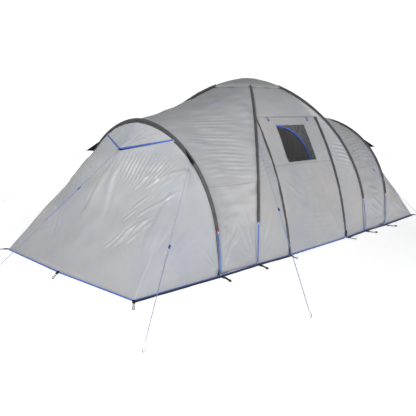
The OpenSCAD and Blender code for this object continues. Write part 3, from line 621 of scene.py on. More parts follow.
class Patch:
    """Collects sheets with a thickness, bands and tubes into one mesh, with its UVs in metres."""

    def __init__(self):
        self.points = []
        self.uvs = []
        self.faces = []
        self.area = 0.0
        self.sides = (0.01, 0.01)

    def add(self, grid, thick, outward, keep=None):
        normal = grid_normals(grid)
        middle = normal[normal.shape[0] // 2, normal.shape[1] // 2]
        flip = float(np.dot(middle, outward)) < 0
        if flip:
            normal = -normal
        rows, cols = grid.shape[:2]
        base = len(self.points)
        self.points.extend((grid + normal * thick / 2).reshape(-1, 3))
        self.points.extend((grid - normal * thick / 2).reshape(-1, 3))
        across = np.linalg.norm(np.diff(grid, axis=1), axis=2).cumsum(axis=1)
        across = np.concatenate([np.zeros((rows, 1)), across], axis=1)
        across -= across[:, cols // 2][:, None]
        along = np.linalg.norm(np.diff(grid, axis=0), axis=2).cumsum(axis=0).mean(axis=1)
        along = np.concatenate([[0], along])
        uv = np.stack([across, np.repeat(along[:, None], cols, axis=1)], axis=2).reshape(-1, 2)
        self.uvs.extend(uv)
        self.uvs.extend(uv)
        has = np.ones((rows - 1, cols - 1), bool) if keep is None else keep
        size = rows * cols
        self.area += grid_area(grid, has)
        long, wide = grid_sides(grid)
        self.sides = (max(self.sides[0], wide), max(self.sides[1], long))

        def quad(a, b, c, d):
            self.faces.append((d, c, b, a) if flip else (a, b, c, d))

        for i in range(rows - 1):
            for j in range(cols - 1):
                if not has[i, j]:
                    continue
                p = base + i * cols + j
                a, b, c, d = p, p + cols, p + cols + 1, p + 1
                quad(a, b, c, d)
                quad(d + size, c + size, b + size, a + size)
                if i == 0 or not has[i - 1, j]:
                    quad(a, d, d + size, a + size)
                if i == rows - 2 or not has[i + 1, j]:
                    quad(c, b, b + size, c + size)
                if j == 0 or not has[i, j - 1]:
                    quad(b, a, a + size, b + size)
                if j == cols - 2 or not has[i, j + 1]:
                    quad(d, c, c + size, d + size)

    def tube(self, path, profile, plane_n, scale=None, closed=False, shift=None):
        """Sweeps a closed profile of (along plane_n, outwards) pairs. A list of plane_n has one per point."""
        m, count = len(profile), len(path)
        base = len(self.points)
        run = 0.0
        girth = np.concatenate([[0], np.cumsum([math.dist(profile[k], profile[k - 1]) for k in range(1, m)])])
        for i, p in enumerate(path):
            before = path[(i - 1) % count] if closed else path[max(i - 1, 0)]
            after = path[(i + 1) % count] if closed else path[min(i + 1, count - 1)]
            t = unit(after - before)
            n = plane_n[i] if isinstance(plane_n, list) else np.array(plane_n, float)
            n = unit(n - t * np.dot(n, t))
            e = unit(np.cross(t, n))
            k = 1.0 if scale is None else scale(i / max(1, count - 1))
            run += 0 if i == 0 else float(np.linalg.norm(p - path[i - 1]))
            for q, (a, b) in enumerate(profile):
                lift = 0 if shift is None else shift(run, a, b)
                self.points.append(p + (n * a + e * (b + lift)) * k)
                self.uvs.append((girth[q] - girth[-1] / 2, run))
        for i in range(count if closed else count - 1):
            for j in range(m):
                a = base + i * m + j
                b = base + i * m + (j + 1) % m
                over = (i + 1) % count - i
                self.faces.append((a, b, b + over * m, a + over * m))
        if not closed:
            self.faces.append(tuple(base + j for j in reversed(range(m))))
            self.faces.append(tuple(base + (count - 1) * m + j for j in range(m)))

    def band(self, points, normals, width, thick, lift, bulge=0.0):
        """A ribbon on a surface: points along it with the surface's normals there."""
        path = [p + n * lift for p, n in zip(points, normals)]
        half, t = width / 2, thick / 2
        across = [-half, -half * 0.6, -half * 0.2, half * 0.2, half * 0.6, half]
        rise = [0, bulge * 0.8, bulge, bulge, bulge * 0.8, 0]
        profile = [(a, t + r) for a, r in zip(across, rise)] + [(a, -t) for a in reversed(across)]
        sides = []
        for i, n in enumerate(normals):
            along = unit(path[min(i + 1, len(path) - 1)] - path[max(i - 1, 0)])
            sides.append(np.cross(n, along))
        self.tube(path, profile, sides)

    def object(self, name, material, body="tent", replaces=()):
        mesh = mesh_from(name, self.points, self.faces)
        layer = mesh.uv_layers.new(name="metres")
        flat = np.array(self.uvs, dtype=np.float32)
        index = np.empty(len(mesh.loops), dtype=np.int32)
        mesh.loops.foreach_get("vertex_index", index)
        layer.data.foreach_set("uv", flat[index].ravel())
        return add_object(name, mesh, material, body, replaces)

    def cloth(self, name, material, body="tent", replaces=()):
        """The collected sheets as one object of cloth. Its area, kept within shares of its flat rectangle, is
        worked out and not used.
        """
        obj = self.object(name, material, body, replaces)
        wide, long = self.sides
        flat = (round(wide, 2), round(long, 2))
        area = max(min(self.area, wide * long), LEAST_CUT * wide * long)
        area = round(min(area, MOST_CUT * flat[0] * flat[1]), 3)


def make_tube(name, material, path, profile, plane_n, body="tent", replaces=(), scale=None):
    patch = Patch()
    patch.tube(path, profile, plane_n, scale=scale)
    return patch.object(name, material, body, replaces)


def ellipse(a, b, sides):
    turns = [2 * math.pi * k / sides for k in range(sides)]
    return [(a * math.cos(t), b * math.sin(t)) for t in turns]


def rounded_slab(w, h, corner):
    """Outline of a flat bar with round edges, width w and height h."""
    points = []
    centres = ((1, 1, 0), (-1, 1, 90), (-1, -1, 180), (1, -1, 270))
    for sx, sy, start in centres:
        for turn in steps(0, 90, 4):
            a = math.radians(start + turn)
            x, y = sx * (w / 2 - corner), sy * (h / 2 - corner)
            points.append((x + corner * math.cos(a), y + corner * math.sin(a)))
    return points


# ---------------------------------------------------------------------------------------------
# Wrinkles: each returns the heights of one kind of fold over the points of a grid
# ---------------------------------------------------------------------------------------------
def facing_at(grid, normal, place):
    """The grid's normal at its point nearest to a place."""
    nearest = int(np.argmin(((grid - place) ** 2).sum(axis=2)))
    return normal.reshape(-1, 3)[nearest]


def smooth(x):
    x = np.clip(x, 0, 1)
    return x * x * (3 - 2 * x)


def fold(p, q, width, height, bow=0.0):
    """One tension fold from p to q, with a shallow dip on each side of it."""
    p, q = vec(*p), vec(*q)
    length = np.linalg.norm(q - p)
    d = (q - p) / length

    def heights(grid, normal):
        n = facing_at(grid, normal, (p + q) / 2)
        side = unit(np.cross(d, n))
        rel = grid - p
        along = (rel @ d) / length
        across = (rel @ side - bow * 4 * along * (1 - along)) / width
        depth = rel @ unit(np.cross(side, d))
        taper = smooth(along * 3) * smooth((1 - along) * 3) * np.exp(-((depth / 0.22) ** 2))
        ridge = np.exp(-(across**2)) - 0.4 * np.exp(-((np.abs(across) - 1.9) ** 2))
        return height * taper * ridge

    return heights


def ripples(centre, direction, wave, height, reach, spread, bend=0.0, seed=1):
    """Parallel folds along a direction, which fade out at reach along them and at spread across."""
    centre, d = vec(*centre), unit(vec(*direction))
    phase = random.Random(seed).uniform(0, 6.28)

    def heights(grid, normal):
        n = facing_at(grid, normal, centre)
        side = unit(np.cross(d, n))
        rel = grid - centre
        along = rel @ d
        across = rel @ side + bend * along**2
        window = np.exp(-((along / reach) ** 2) - (across / spread) ** 2 - (rel @ n / 0.3) ** 2)
        reflection_tint = 0.9 * np.sin(along * 6.0 + phase) + 0.7 * np.sin(across * 11.0 + phase)
        s = 2 * math.pi * across / wave + reflection_tint
        return height * window * (np.sin(s) + 0.35 * np.sin(2.1 * s + phase))

    return heights


def crumple(height, size, seed, stretch=(1, 1, 1)):
    """Low irregular waves all over a panel, the same at each run."""
    rng = random.Random(seed)
    waves = []
    for _ in range(16):
        d = unit(vec(rng.gauss(0, 1), rng.gauss(0, 1), rng.gauss(0, 1))) * vec(*stretch)
        turns = d * 2 * math.pi / (size * rng.uniform(0.5, 1.8))
        waves.append((turns, rng.uniform(0, 6.28), rng.uniform(0.4, 1)))

    def heights(grid, normal):
        return height / 3 * sum(a * np.sin(grid @ k + phase) for k, phase, a in waves)

    return heights


def fan(anchor, toward, count, angle, length, width, height, seed=3):
    """Folds that spread out from an anchor point, in the plane of the panel."""
    anchor, axis = vec(*anchor), unit(vec(*toward))
    rng = random.Random(seed)
    picks = [(rng.uniform(0.55, 1.0), rng.uniform(0.5, 1.0), rng.uniform(-0.3, 0.3)) for _ in range(count)]

    def heights(grid, normal):
        n = facing_at(grid, normal, anchor + axis * length * 0.3)
        flat = unit(axis - n * np.dot(axis, n))
        side = unit(np.cross(n, flat))
        rel = grid - anchor
        x, y = rel @ flat, rel @ side
        r = np.sqrt(x * x + y * y) + 1e-6
        turn = np.arctan2(y, x)
        total = np.zeros(r.shape)
        for k, (far, strong, off) in enumerate(picks):
            a = angle * ((k + off) / max(1, count - 1) - 0.5)
            reach = length * far
            window = smooth(r / (0.2 * reach)) * np.exp(-1.6 * (r / reach) ** 2)
            total += strong * window * np.exp(-(((turn - a) * r / width) ** 2))
        return height * total * np.exp(-((rel @ n / 0.25) ** 2))

    return heights


def mirrored(height_at):
    """The same folds on the far side of the tent."""
    def heights(grid, normal):
        return height_at(grid * vec(1, -1, 1), normal * vec(1, -1, 1))

    return heights


def wrinkled(grid, folds, sx=1, edge=0.04, far_side=False):
    """Moves a panel's points along its normals. Its sewn edges stay where they are.
    Folds are written for the -X end of the tent, and sx = -1 uses them at the +X end."""
    normal = grid_normals(grid)
    rows, cols = grid.shape[:2]
    if np.dot(normal[rows // 2, cols // 2], grid[rows // 2, cols // 2] - vec(0, 0, 0.3)) < 0:
        normal = -normal
    here, facing = grid * vec(sx, 1, 1), normal * vec(sx, 1, 1)
    total = sum(f(here, facing) for f in folds)
    if far_side:
        total = total + sum(mirrored(f)(here, facing) for f in folds)
    along_u = lengths_along(grid[:, cols // 2])
    along_v = lengths_along(grid[rows // 2])
    fade_u = smooth(np.minimum(along_u, along_u[-1] - along_u) / edge)
    fade_v = smooth(np.minimum(along_v, along_v[-1] - along_v) / edge)
    return grid + normal * (total * np.outer(fade_u, fade_v))[..., None]


def sample(grid, i, j):
    """Point and outward normal of a grid at fractional row and column."""
    rows, cols = grid.shape[:2]
    a, b = int(min(max(i, 0), rows - 1.001)), int(min(max(j, 0), cols - 1.001))
    u, v = i - a, j - b
    p = mix(mix(grid[a, b], grid[a + 1, b], u), mix(grid[a, b + 1], grid[a + 1, b + 1], u), v)
    n = unit(np.cross(grid[a + 1, b] - grid[a, b], grid[a, b + 1] - grid[a, b]))
    return p, n if np.dot(n, p - vec(0, 0, 0.3)) > 0 else -n


def on_panel(grid, places):
    pairs = [sample(grid, i, j) for i, j in places]
    normals = np.array([n for _, n in pairs])
    eased = [unit(normals[max(0, k - 1):k + 2].sum(axis=0)) for k in range(len(pairs))]
    return [p for p, _ in pairs], eased


# ---------------------------------------------------------------------------------------------
# Guy lines
# ---------------------------------------------------------------------------------------------
def loop_path(start, peg, stop, back):
    """One guy line: down to its peg, round it, and back up to the runner at the share stop."""
    start, peg = vec(*start), vec(*peg)
    d = unit(peg - start)
    side = unit(np.cross(d, UP))
    path = [mix(start, peg, f) for f in (0, 0.08, 0.2, 0.28)]
    for f in (0.45, 0.6, 0.75, 0.88, 0.96, 0.99):
        path.append(mix(start, peg, f) + side * mix(STRAND_GAP, LOOP_R, max(0, (f - 0.95) / 0.05)))
    for a in (10, 50, 90, 130, 170):
        a = math.radians(a)
        path.append(peg + LOOP_R * (side * math.cos(a) + d * math.sin(a)))
    for f in (0.99, 0.96, 0.9, 0.8, 0.7, 0.6):
        if f > stop + 0.05:
            path.append(mix(start, peg, f) - side * mix(STRAND_GAP, LOOP_R, max(0, (f - 0.95) / 0.05)))
    path.append(mix(start, peg, stop) - side * back)
    return path


def path_length(path):
    return float(sum(np.linalg.norm(b - a) for a, b in zip(path, path[1:])))


def make_line(name, path, radius, replaces):
    data = bpy.data.curves.new(name, "CURVE")
    data.dimensions = "3D"
    spline = data.splines.new("POLY")
    spline.points.add(len(path) - 1)
    for point, p in zip(spline.points, path):
        point.co = (*p, 1)
    data.bevel_depth = radius
    data.bevel_resolution = 3
    data.use_fill_caps = True
    obj = bpy.data.objects.new(name, data)
    bpy.context.collection.objects.link(obj)
    data.materials.append(LINE)
    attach(obj, "tent")
    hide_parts(*replaces)
    return obj


def make_runner(name, start, peg, share):
    """A flat line-tightening bar, waisted, with a raised rim for each strand of the line."""
    start, peg = vec(*start), vec(*peg)
    d = unit(peg - start)
    side = unit(np.cross(d, UP))
    up = np.cross(side, d)
    centre = mix(start, peg, share) - side * LOOP_R / 2 - d * 0.020
    patch = Patch()
    profile = rounded_slab(0.020, 0.009, 0.004)
    path = [centre + d * x for x in steps(-0.016, 0.016, 12)]

    def waist(s):
        return 0.86 + 0.14 * abs(2 * s - 1) ** 1.5 if 0.04 < s < 0.96 else 0.8

    patch.tube(path, [(b, a) for a, b in profile], up, scale=waist)
    for s in (-0.0045, 0.0045):
        ring = [centre + side * s + d * x for x in (0.0155, 0.0175)]
        patch.tube(ring, ellipse(0.0036, 0.0036, 12), up)
    return patch.object("runner_" + name + "_bar", BLUE_PLASTIC, "runner_" + name, ("runner_" + name,))


def make_knot(name, at, d):
    def ball(s):
        return math.sqrt(max(0.04, 1 - (2 * s - 1) ** 2))

    path = [at + d * x for x in steps(-0.007, 0.007, 8)]
    up = unit(np.cross(d, vec(0.1, 0.2, 1)))
    return make_tube(name, LINE, path, ellipse(0.0042, 0.0042, 12), up, scale=ball)


def make_guys():
    for name, start, peg, share in GUYS:
        path = loop_path(start, peg, share, LOOP_R)
        line = make_line("line_" + name, path, LINE_D / 2, ("guy_" + name,))
        runner = make_runner(name, start, peg, share)
        d = unit(vec(*peg) - vec(*start))
        knots = [
            make_knot("tie_knot_" + name, path[0] + d * 0.004, d),
            make_knot("end_knot_" + name, path[-1] - d * 0.046, d),
        ]
        round(path_length(path), 3)


make_camera()
make_surroundings()
make_guys()


# ---------------------------------------------------------------------------------------------
# Fly panels
# ---------------------------------------------------------------------------------------------
# The fly's thickness, and its finished grids by name, for the seams and bindings on them
CLOTH = 0.0016
PANELS = {}
# The cap's half width, as a share of the poles' distance from the middle at its edge
CAP_OVERHANG = 1.085
# Rows of an end panel's grid from its middle to a corner, and on from there to the arch's foot
END_INNER_ROWS, END_OUTER_ROWS = 120, 60
END_FOLDS = [
    # a bundle of slanting folds in the middle of the panel
    fold((-2.31, -0.78, 0.72), (-2.15, -0.95, 0.96), 0.016, 0.011),
    fold((-2.33, -0.72, 0.68), (-2.19, -0.88, 0.90), 0.013, 0.008),
    fold((-2.30, -0.88, 0.76), (-2.17, -1.00, 0.93), 0.013, 0.008),
    fold((-2.38, -0.62, 0.60), (-2.25, -0.78, 0.80), 0.013, 0.008),
    fold((-2.36, -0.50, 0.66), (-2.24, -0.64, 0.84), 0.013, 0.007),
    fold((-2.47, -0.68, 0.48), (-2.36, -0.79, 0.66), 0.016, 0.011),
    fold((-2.49, -0.60, 0.45), (-2.38, -0.73, 0.62), 0.013, 0.008),
    fold((-2.44, -0.78, 0.52), (-2.36, -0.86, 0.66), 0.013, 0.008),
    fold((-2.42, -0.48, 0.56), (-2.33, -0.58, 0.70), 0.012, 0.007),
    fold((-2.58, -0.52, 0.32), (-2.42, -0.68, 0.56), 0.017, 0.010),
    fold((-2.60, -0.42, 0.30), (-2.48, -0.56, 0.48), 0.013, 0.007),
    fold((-2.55, -0.66, 0.36), (-2.44, -0.78, 0.52), 0.013, 0.008),
    fold((-2.44, -1.12, 0.50), (-2.34, -1.17, 0.68), 0.014, 0.008),
    fold((-2.50, -1.08, 0.40), (-2.38, -1.14, 0.60), 0.014, 0.008),
    fold((-2.23, -0.55, 0.88), (-2.13, -0.66, 1.02), 0.014, 0.009),
    fold((-2.21, -0.44, 0.93), (-2.12, -0.54, 1.04), 0.012, 0.008),
    fold((-2.26, -0.40, 0.84), (-2.18, -0.48, 0.96), 0.012, 0.007),
    fold((-2.20, -0.70, 0.90), (-2.10, -0.80, 1.03), 0.013, 0.008),
    # long pulls from the hood's peak, the guy tabs and the corner pegs
    fan((-2.72, -1.12, 0.05), (0.52, -0.02, 0.85), 7, 0.9, 1.0, 0.014, 0.008, seed=24),
    fold((-2.66, -1.08, 0.16), (-2.05, -0.97, 0.92), 0.016, 0.008, bow=0.01),
    fold((-2.64, -1.03, 0.18), (-2.10, -0.90, 0.90), 0.014, 0.007, bow=0.01),
    fold((-2.07, -0.03, 1.12), (-2.50, -0.19, 0.47), 0.030, 0.010),
    fold((-2.07, 0.02, 1.12), (-2.52, 0.14, 0.40), 0.040, 0.008),
    fold((-1.90, -0.90, 1.07), (-2.62, -1.05, 0.22), 0.034, 0.012, bow=0.03),
    fold((-1.96, -0.84, 1.02), (-2.58, -0.96, 0.28), 0.030, 0.010, bow=0.02),
    fold((-1.92, -0.96, 1.00), (-2.50, -1.13, 0.40), 0.028, 0.010),
    fan((-2.75, -1.12, 0.03), (0.5, 0.35, 0.62), 9, 1.2, 0.85, 0.018, 0.010, seed=5),
    fan((-2.74, -1.13, 0.03), (0.95, -0.05, 0.55), 6, 0.7, 0.80, 0.018, 0.008, seed=6),
    fan((-1.88, -0.88, 1.08), (-0.55, 0.25, -0.75), 9, 1.1, 0.65, 0.014, 0.009, seed=8),
    fan((-1.75, -1.16, 0.03), (-0.5, 0.05, 0.8), 5, 0.9, 0.6, 0.014, 0.007, seed=12),
    # short hanging ripples below the hood's edge
    ripples((-2.10, -0.30, 1.04), (-0.5, 0.05, -0.85), 0.050, 0.0045, 0.16, 0.32, seed=2),
    ripples((-2.09, -0.62, 1.04), (-0.45, 0.30, -0.80), 0.045, 0.0050, 0.15, 0.14, seed=3),
    crumple(0.0020, 0.20, 21),
    crumple(0.0050, 0.75, 22),
]
TUNNEL_FOLDS = [
    ripples((-1.28, -0.72, 1.31), (-1, 0.25, 0.12), 0.046, 0.0050, 0.26, 0.10, seed=4),
    ripples((-1.25, -0.84, 1.17), (-1, 0.22, 0.10), 0.048, 0.0050, 0.28, 0.11, bend=0.1, seed=6),
    ripples((-1.22, -0.96, 1.03), (-1, 0.18, 0.06), 0.046, 0.0045, 0.24, 0.11, seed=7),
    ripples((-1.20, -0.55, 1.50), (-1, 0.30, 0.05), 0.052, 0.0035, 0.26, 0.12, seed=9),
    ripples((-1.58, -0.95, 1.02), (-1, 0.10, -0.15), 0.055, 0.0028, 0.16, 0.20, seed=10),
    fold((-1.72, -1.20, 0.27), (-1.42, -1.15, 0.46), 0.018, 0.010, bow=0.02),
    fold((-1.61, -1.22, 0.21), (-1.35, -1.17, 0.35), 0.016, 0.008),
    fold((-1.68, -1.18, 0.52), (-1.30, -1.15, 0.60), 0.020, 0.006),
    fan((-1.19, -1.16, 0.04), (-0.45, 0.02, 0.85), 5, 1.1, 0.55, 0.016, 0.007, seed=14),
    fan((-1.73, -1.17, 0.04), (0.45, 0.02, 0.8), 5, 1.0, 0.50, 0.015, 0.007, seed=15),
    crumple(0.0026, 0.18, 31, (0.5, 1, 1.4)),
    crumple(0.0040, 0.80, 32),
]
FRONT_FOLDS = [
    fan((-1.14, -1.16, 0.04), (0.35, 0.02, 0.9), 5, 0.9, 0.6, 0.016, 0.007, seed=41),
    fan((1.14, -1.16, 0.04), (-0.35, 0.02, 0.9), 5, 0.9, 0.6, 0.016, 0.007, seed=42),
    ripples((-0.88, -0.95, 1.10), (1, 0.0, 0.25), 0.050, 0.0030, 0.16, 0.25, seed=43),
    ripples((0.88, -0.95, 1.10), (1, 0.0, -0.25), 0.050, 0.0030, 0.16, 0.25, seed=44),
    fold((-0.62, -0.66, 1.56), (-0.30, -0.42, 1.80), 0.020, 0.005),
    fold((0.62, -0.66, 1.56), (0.30, -0.42, 1.80), 0.020, 0.003),
    crumple(0.0024, 0.18, 45),
    crumple(0.0040, 0.80, 46),
]
DOOR_FOLDS = [
    fan((-0.60, -0.66, 1.50), (0.4, -0.3, -0.8), 5, 0.8, 0.55, 0.016, 0.006, seed=51),
    fan((0.60, -0.66, 1.50), (-0.4, -0.3, -0.8), 5, 0.8, 0.55, 0.016, 0.006, seed=52),
    fan((-0.60, -1.20, 0.04), (0.45, 0, 0.85), 5, 0.8, 0.55, 0.018, 0.007, seed=53),
    fan((0.60, -1.20, 0.04), (-0.45, 0, 0.85), 5, 0.8, 0.55, 0.018, 0.007, seed=54),
    fold((-0.40, -1.12, 0.45), (0.20, -1.10, 0.60), 0.050, 0.005),
    ripples((-0.05, -1.13, 0.95), (1, 0.0, 0.10), 0.060, 0.0030, 0.45, 0.22, bend=0.1, seed=57),
    ripples((0.10, -1.16, 0.30), (1, 0.0, -0.06), 0.055, 0.0030, 0.40, 0.16, seed=58),
    fold((-0.52, -1.05, 0.85), (-0.20, -1.10, 0.62), 0.016, 0.006),
    fold((0.52, -1.05, 0.88), (0.28, -1.10, 0.58), 0.016, 0.006),
    crumple(0.0022, 0.20, 55),
    crumple(0.0045, 0.70, 56),
]
HOOD_FOLDS = [
    fan((-2.03, 0.0, 1.19), (0.6, -0.6, 0.45), 7, 1.3, 0.5, 0.014, 0.006, seed=61),
    crumple(0.0025, 0.16, 62),
]


def make_cloth(name, material, grid, outward_is, replaces=(), body="tent", keep=None, thick=CLOTH):
    patch = Patch()
    patch.add(grid, thick, outward_is, keep)
    patch.cloth(name, material, body, replaces)


def front_grid(rows, field_n, side_n, split_rows):
    """Rows of the dome's front. Its columns meet the door's opening, and a row meets the opening's top."""
    low = steps(HEM_LOW, DOOR_TOP - 0.001, split_rows)
    high = steps(DOOR_TOP - 0.001, CAP_EDGE_Z - 0.006, rows - split_rows)[1:]
    lines = []
    for z in low + high:
        field = field_x(z) + (ZIP_GAP / 2 if z <= DOOR_TOP + 0.010 else 0)
        half = [field * k / field_n for k in range(1, field_n + 1)] + steps(field, seam_x(z), side_n)[1:]
        xs = [-x for x in reversed(half)] + [0] + half
        lines.append([front_point(x, z) for x in xs])
    return np.array(lines)


def make_front():
    rows, split, field_n, side_n = 200, 165, 30, 48
    grid = wrinkled(front_grid(rows, field_n, side_n, split), FRONT_FOLDS)
    keep = np.ones((rows, 2 * (field_n + side_n)), bool)
    keep[:split, side_n:side_n + 2 * field_n] = False
    make_cloth("dome_front_fly", FLY, grid, vec(0, -1, 0.3), ("dome_front_panel",), keep=keep)

    back = front_grid(60, 20, 14, 48) * vec(1, -1, 1)
    grid = wrinkled(back, [mirrored(f) for f in FRONT_FOLDS])
    make_cloth("dome_back_fly", FLY, grid, vec(0, 1, 0.3), ("dome_back_panel",))


def make_cap():
    """The cap: level rectangles with their corners on the poles, softened between the corners."""
    reach = DOME_REACH * math.cos(CAP_T) ** DOME_POWER * CAP_OVERHANG

    def height(r):
        t = math.acos((r / DOME_REACH) ** (1 / DOME_POWER))
        return DOME_RISE * math.sin(t) + POLE_B_LIFT * math.sin(t) ** 8 + POLE_D / 2 + 0.004

    def point(a, b):
        far, near = max(abs(a), abs(b)), min(abs(a), abs(b))
        s = (abs(a) ** 6 + abs(b) ** 6) ** (1 / 6)
        z = height(reach * min(1.0, mix(far, s / 2 ** (1 / 6), 0.35)))
        z -= 0.006 * math.sin(math.pi * near / max(far, 1e-6)) * far
        corner = (near / max(far, 1e-6)) ** 6
        z -= mix(0.026, 0.012 if a * b > 0 else 0.004, corner) * (max(0, far - 0.86) / 0.14) ** 1.5
        return vec(a * reach * math.cos(DOME_ANGLE), b * reach * math.sin(DOME_ANGLE), z)

    shares = [i / 22 for i in range(-22, 23)]
    grid = wrinkled(grid_of(shares, shares, point), [crumple(0.0016, 0.12, 71)], edge=0.02)
    make_cloth("crown_cap", CAP_WITH_PAINTED_SHADE, grid, UP, ("roof_cap",))


def make_tunnel(sx, name):
    rows, cols = 330, 92
    last = 0.996

    def point(i, j):
        return tunnel_point(sx, j / cols, last * (2 * i / rows - 1))

    grid = wrinkled(grid_of(range(rows + 1), range(cols + 1), point), TUNNEL_FOLDS, -sx, far_side=True)
    make_cloth("tunnel_fly_" + name, FLY, grid, UP, ("tunnel_panel_" + name,))
    PANELS["tunnel_" + name] = grid


def rounded_ridges(grid, width):
    """Each level line of an end panel, averaged along itself more and more away from its two seams."""
    eased = grid.copy()
    count = grid.shape[1]
    for k in range(1, count - 1):
        line = grid[:, k]
        run = lengths_along(line)
        room = np.minimum(run, run[-1] - run)
        s = k / (count - 1)
        reach = np.minimum(width * 2.8 * s**0.6 * (1 - s) ** 1.4 + 1e-4, room / 2.2 + 1e-4)
        for i in range(1, len(line) - 1):
            weight = np.exp(-(((run - run[i]) / reach[i]) ** 2)) * np.gradient(run)
            eased[i, k] = (line * weight[:, None]).sum(axis=0) / weight.sum()
    return eased


def make_end(sx, name):
    """An end panel. Its folds fade out near its corner pegs."""
    half = list(np.linspace(0, CORNER_SHARE, END_INNER_ROWS + 1))
    half += list(np.linspace(CORNER_SHARE, 0.985, END_OUTER_ROWS + 1)[1:])
    shares = [-w for w in reversed(half[1:])] + half
    grid = grid_of(shares, np.linspace(0, 1, 131), lambda w, s: end_point(sx, w, s))
    eased = rounded_ridges(grid, 0.110)
    folded = wrinkled(eased, END_FOLDS, -sx, edge=0.06, far_side=True)
    away = np.linalg.norm(np.abs(eased) - vec(CORNER_X, CORNER_Y, 0), axis=2)
    grid = eased + (folded - eased) * np.clip(away / 0.60, 0, 1)[:, :, None] ** 1.5
    make_cloth("end_fly_" + name, FLY, grid, vec(sx, 0, 0.6), ("end_panel_" + name,))
    PANELS["end_" + name] = grid


def make_hood(sx, name):
    """A vent hood with its blue binding, and the mesh behind it."""
    peak = vec(sx * HOOD_X, 0, HOOD_Z)
    rows, cols = 120, 44

    def point(i, k):
        v = 0.97 * (2 * i / rows - 1)
        edge = mix(peak, arch_seam(sx, math.copysign(HOOD_T, v)), abs(v))
        p = mix(arch_seam(sx, HOOD_T * v), edge, 0.01 + 0.99 * k / cols)
        return p - vec(0, 0, 0.010 * math.sin(math.pi * k / cols) * (1 - abs(v)))

    grid = wrinkled(grid_of(range(rows + 1), range(cols + 1), point), HOOD_FOLDS, -sx, edge=0.02)
    make_cloth("hood_fly_" + name, FLY, grid, vec(sx, 0, 0.8), ("vent_hood_" + name,))
    PANELS["hood_" + name] = grid

    binding = Patch()
    places = [(i, cols - 0.25) for i in np.linspace(0.5, rows - 0.5, 61)]
    binding.band(*on_panel(grid, places), 0.017, 0.0022, 0.0012, 0.0008)
    binding.object("hood_binding_" + name, BLUE_TAPE)

    def mesh_point(i, k):
        v = 0.93 * (2 * i / 40 - 1)
        top, low = arch_point(sx, HOOD_T * v, 0.040), arch_point(sx, HOOD_T, 0.060)
        return vec(mix(top[0], low[0], k / 10), top[1], mix(top[2], low[2], k / 10))

    mesh = grid_of(range(41), range(11), mesh_point)
    make_cloth("vent_net_" + name, NET, mesh, vec(sx, 0, 0), ("vent_mesh_" + name,), thick=0.001)


def make_fly_seams():
    """Flat-felled joins of the tunnels' widths of fabric."""
    patch = Patch()
    for _, name in SIDES:
        grid = PANELS["tunnel_" + name]
        rows, cols = grid.shape[0] - 1, grid.shape[1] - 1
        for flip in (0, 1):
            along = np.linspace(0.4, cols - 0.4, 70)
            places = [(rows * abs(flip - mix(0.1544, 0.1682, j / cols)), j) for j in along]
            patch.band(*on_panel(grid, places), 0.012, 0.0011, 0.0010, 0.0005)
    patch.object("fly_seams", SEAM)


def make_flanges():
    """The arch sleeves' edges, where they lie flat on the ends and on the hoods."""
    flange = Patch()
    for _, name in SIDES:
        grid = PANELS["end_" + name]
        last = grid.shape[0] - 1
        middle = last / 2
        hooded = middle * HOOD_SHARE / CORNER_SHARE * END_INNER_ROWS / (END_INNER_ROWS + END_OUTER_ROWS)
        for low, high in ((0.6, middle - hooded), (middle + hooded, last - 0.6)):
            places = [(i, 1.3) for i in np.linspace(low, high, 90)]
            flange.band(*on_panel(grid, places), 0.026, 0.0012, 0.0014, 0.0006)
        grid = PANELS["hood_" + name]
        places = [(i, 1.6) for i in np.linspace(0.5, grid.shape[0] - 1.5, 90)]
        flange.band(*on_panel(grid, places), 0.030, 0.0012, 0.0014, 0.0006)
    flange.object("arch_sleeve_flanges", SLEEVE)


def make_seam_shadow_bands():
    """Painted shadow: dark bands along the fly's seams behind the bare poles, below the sleeves, where the
    seams lie in shade.
    """
    shadow_bands = Patch()
    heights = steps(0.020, SLEEVE_END_Z, 24)
    for sx, sy in CORNERS:
        dome = [dome_seam(sx, sy, dome_t(z)) for z in heights]
        arch = [arch_seam(sx, sy * arch_angle(z)) for z in heights]
        for points, normal in ((dome, vec(sx, sy, 0.2)), (arch, vec(0, sy, 0.2))):
            shadow_bands.band(points, [unit(normal)] * len(points), 0.013, 0.0016, 0.0018, 0.0010)
    shadow_bands.object("seam_shadow_bands", SEAM_SHADE)


def make_door_seam():
    """The join across the door, below its window."""
    door = Patch()
    grid = PANELS["door"]
    rows, cols = grid.shape[0] - 1, grid.shape[1] - 1
    places = [(0.628 * rows, j) for j in np.linspace(1.6, cols - 1.6, 60)]
    door.band(*on_panel(grid, places), 0.014, 0.0012, 0.0012, 0.0006)
    door.object("door_seam", SEAM, "door")


# ---------------------------------------------------------------------------------------------
# Door
# ---------------------------------------------------------------------------------------------
# Rows of the door's grid below, beside and above its window, and columns across half the window
# and beside it
ROWS_BELOW, ROWS_BESIDE, ROWS_ABOVE = 46, 20, 5
COLS_ACROSS, COLS_BESIDE = 14, 15
WINDOW_ROWS = (ROWS_BELOW, ROWS_BELOW + ROWS_BESIDE)
WINDOW_COLS = (COLS_BESIDE, COLS_BESIDE + 2 * COLS_ACROSS)


def door_grid():
    half = ZIP_X - ZIP_GAP / 2
    zs = steps(HEM_LOW, WINDOW_LOW, ROWS_BELOW) + steps(WINDOW_LOW, WINDOW_HIGH, ROWS_BESIDE)[1:]
    zs += steps(WINDOW_HIGH, DOOR_TOP - 0.0002, ROWS_ABOVE)[1:]
    right = steps(0, WINDOW_HALF_W, COLS_ACROSS) + steps(WINDOW_HALF_W, half, COLS_BESIDE)[1:]
    xs = [-x for x in reversed(right[1:])] + right
    return grid_of(zs, xs, lambda z, x: front_point(x, z))


